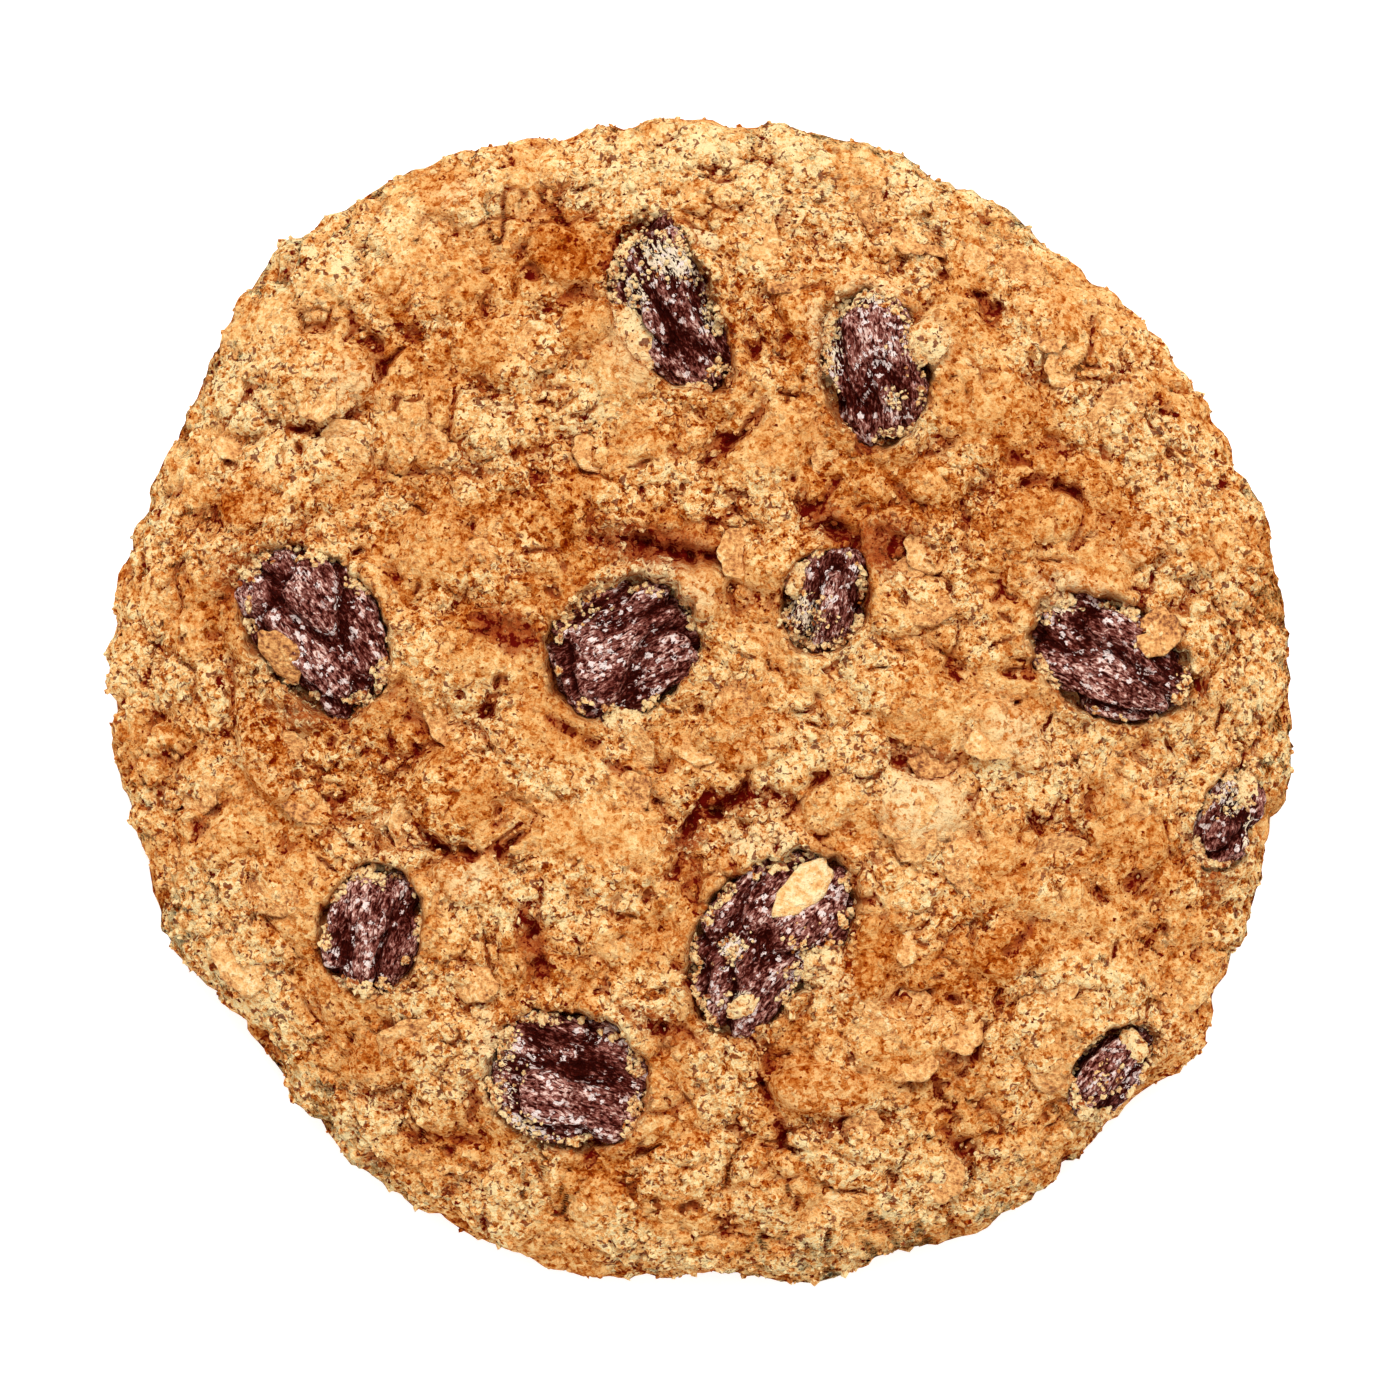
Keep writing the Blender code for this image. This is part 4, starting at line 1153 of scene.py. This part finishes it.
# The rolled oats
# Flat steamed flakes, baked into the crust so that only an edge or a face of each one shows,
# and three that lie on raisins. Each is a thin curled disc with a groove along its middle.
OAT_THICKNESS = 0.5
OAT_GROOVE = 0.2
OAT_CURL = 0.5
OAT_RAGGED = 0.07
HIDDEN_OATS = 60
HIDDEN_OAT_SEED = 41
HIDDEN_OAT_LENGTH = (3.0, 5.0)
HIDDEN_OAT_SINK = (0.25, 0.6)
HIDDEN_OAT_LEAN = 0.45
HIDDEN_OAT_REACH = 38.0
HIDDEN_OAT_CLEARANCE = 1.6
OAT_SLIMNESS = (0.6, 0.8)
OAT_GRAIN, OAT_FIBRE = 0.9, 0.28
OAT_COLOURS = (
    (0.00, (0.200, 0.050, 0.014)),
    (0.30, (0.600, 0.240, 0.065)),
    (0.60, (0.850, 0.460, 0.160)),
    (1.00, (0.940, 0.740, 0.400)),
)
# How far a flake on a raisin follows the slope of what is under it.
FLAKE_FOLLOWS = 0.45
# The flakes on raisins: x, y, length, width, turn, lean across, paleness.
RAISIN_OATS = (
    (32.4, 4.7, 4.0, 3.0, 60, -0.1, 0.36),
    (7.3, -13.3, 5.6, 2.7, 42, 0.15, 0.78),
    (-29.6, 3.2, 4.4, 2.6, -54, 0.1, 0.34),
)


def oat_shape(draw, length, width):
    """One flake's points in its own plane: curled, grooved and ragged at the edge."""
    disc, _ = template_ball(3)
    heading = np.arctan2(disc[:, 1], disc[:, 0])
    waves = [np.sin(count * heading + draw.uniform(0, 6)) for count in (3, 7)]
    edge = 1.0 + OAT_RAGGED * sum(waves)
    x, y = disc[:, 0] * edge, disc[:, 1] * edge
    z = disc[:, 2] * OAT_THICKNESS / 2
    z = z + OAT_CURL * draw.uniform(-0.6, 1.0) * (x * x * 0.5 + y * y * 0.35 - 0.3)
    z = z - OAT_GROOVE * np.exp(-((y / 0.16) ** 2)) * (1.0 - x * x) * (disc[:, 2] > 0)
    return np.stack([x * length / 2, y * width / 2, z], axis=1)


def lie_flat(shape, turn, middle, normal, lean):
    """Turns a flake about its own normal, leans it and lays it on the crust."""
    facing = (Vector(normal) + Vector(lean)).normalized()
    tilt = Vector((0, 0, 1)).rotation_difference(facing).to_matrix()
    turned = tilt @ Matrix.Rotation(math.radians(turn), 3, "Z")
    return shape @ np.array(turned).T + middle


def rolled_oat():
    """Cream to toasted flake, mottled and softly fibrous."""
    oat = Nodes("rolled_oat")
    grain = oat.noise(OAT_GRAIN, 3.0, 0.7)
    fine = oat.noise(OAT_FIBRE, 2.0, 0.6)
    tone = oat.total(oat.fact("paleness"), oat.centred(grain, 1.6), oat.centred(fine, 1.3))
    return oat.finish({
        "Base Color": oat.ramp(tone, OAT_COLOURS),
        "Roughness": 0.75,
        "Specular IOR Level": 0.2,
        "Normal": oat.bump(oat.total(grain, fine), 0.3),
    })


def smooth_normal(x, y):
    """Which way the dome faces at a place on the crust."""
    step = 1.5
    here = np.array([[x - step, x + step, x, x], [y, y, y - step, y + step]])
    heights = crust_height(here[0], here[1])
    return Vector((heights[0] - heights[1], heights[2] - heights[3], 2 * step)).normalized()


def crust_top(x, y):
    """Height of the finished crust round a place."""
    heights = nearby(dough_places, x, y, 0.9)[:, 2]
    return float(np.percentile(heights[heights > 2.5], 70))


draw = np.random.default_rng(HIDDEN_OAT_SEED)
oats = []
oat_paleness = []
for x, y, length, width, turn, lean, paleness in RAISIN_OATS:
    shape = oat_shape(draw, length, width)
    along, across = in_ellipse(landing[:, 0], landing[:, 1], x, y, length, width, turn)
    below = landing[np.hypot(along, across) < 1.0]
    bed = np.column_stack([below[:, :2] - (x, y), np.ones(len(below))])
    slope = FLAKE_FOLLOWS * np.linalg.lstsq(bed, below[:, 2], rcond=None)[0][:2]
    height = np.percentile(below[:, 2] - bed[:, :2] @ slope, 90)
    oats.append(lie_flat(shape, turn, (x, y, height), (-slope[0], -slope[1], 1), (lean, -lean, 0)))
    oat_paleness.append(paleness)
while len(oats) < len(RAISIN_OATS) + HIDDEN_OATS:
    heading = draw.uniform(0, 2 * math.pi)
    distance = HIDDEN_OAT_REACH * math.sqrt(draw.random())
    x, y = distance * math.cos(heading), distance * math.sin(heading)
    nearest = min(float(raisin_reach(name, np.array([x]), np.array([y]))[0]) for name in RAISINS)
    if nearest < HIDDEN_OAT_CLEARANCE:
        continue
    length = draw.uniform(*HIDDEN_OAT_LENGTH)
    lean = (*draw.uniform(-HIDDEN_OAT_LEAN, HIDDEN_OAT_LEAN, size=2), 0)
    middle = (x, y, crust_top(x, y) - draw.uniform(*HIDDEN_OAT_SINK))
    shape = oat_shape(draw, length, length * draw.uniform(*OAT_SLIMNESS))
    oats.append(lie_flat(shape, draw.uniform(0, 180), middle, smooth_normal(x, y), lean))
    oat_paleness.append(draw.uniform(0.35, 0.6))
oat_facts = {"paleness": np.array(oat_paleness)}
oat_mesh = joined_copies("rolled_oats", np.array(oats), template_ball(3)[1], oat_facts)
oat_mesh.shade_smooth()
put_in_scene("rolled_oats", oat_mesh, rolled_oat())

# The table and the light
# A plain white surface under a bright tent, with the brighter window at the back, and a camera
# that looks straight down from well above, as the cookie was photographed.
FRAME_WIDTH = 100.2
LENS, SENSOR = 200.0, 36.0
FLOOR_HALF = 2.0
KEY_STRENGTH = 2.02
KEY_ELEVATION, KEY_HEADING = 57.0, -6.0
KEY_ANGLE = 28.0
WHITE, TABLE_WHITE = (1.0, 1.0, 1.0, 1.0), (0.9, 0.9, 0.9, 1.0)
SKY_STRENGTH = 0.86
FLOOR_GLOW = 0.5

floor_mesh = bpy.data.meshes.new("table")
shape = bmesh.new()
bmesh.ops.create_grid(shape, x_segments=1, y_segments=1, size=FLOOR_HALF)
shape.to_mesh(floor_mesh)
shape.free()
floor_mesh.materials.append(Nodes("white_table").finish({
    "Base Color": TABLE_WHITE,
    "Roughness": 0.9,
    "Emission Color": WHITE,
    "Emission Strength": FLOOR_GLOW,
}))
table = bpy.data.objects.new("table", floor_mesh)
bpy.context.scene.collection.objects.link(table)

window = bpy.data.lights.new("window", "SUN")
window.energy = KEY_STRENGTH
window.angle = math.radians(KEY_ANGLE)
window_holder = bpy.data.objects.new("window", window)
window_holder.rotation_euler = (math.radians(KEY_ELEVATION - 90.0), 0, math.radians(KEY_HEADING))
bpy.context.scene.collection.objects.link(window_holder)

tent = bpy.data.worlds.new("light_tent")
bpy.context.scene.world = tent
tent.use_nodes = True
tent.node_tree.nodes["Background"].inputs["Color"].default_value = WHITE
tent.node_tree.nodes["Background"].inputs["Strength"].default_value = SKY_STRENGTH
bpy.context.scene.view_settings.view_transform = "Standard"

camera = bpy.data.cameras.new("camera")
camera.lens = LENS
camera.sensor_width = SENSOR
camera_holder = bpy.data.objects.new("camera", camera)
camera_holder.location = (0, 0, (WIDEST_HEIGHT + FRAME_WIDTH * LENS / SENSOR) * MM)
bpy.context.scene.collection.objects.link(camera_holder)
bpy.context.scene.camera = camera_holder
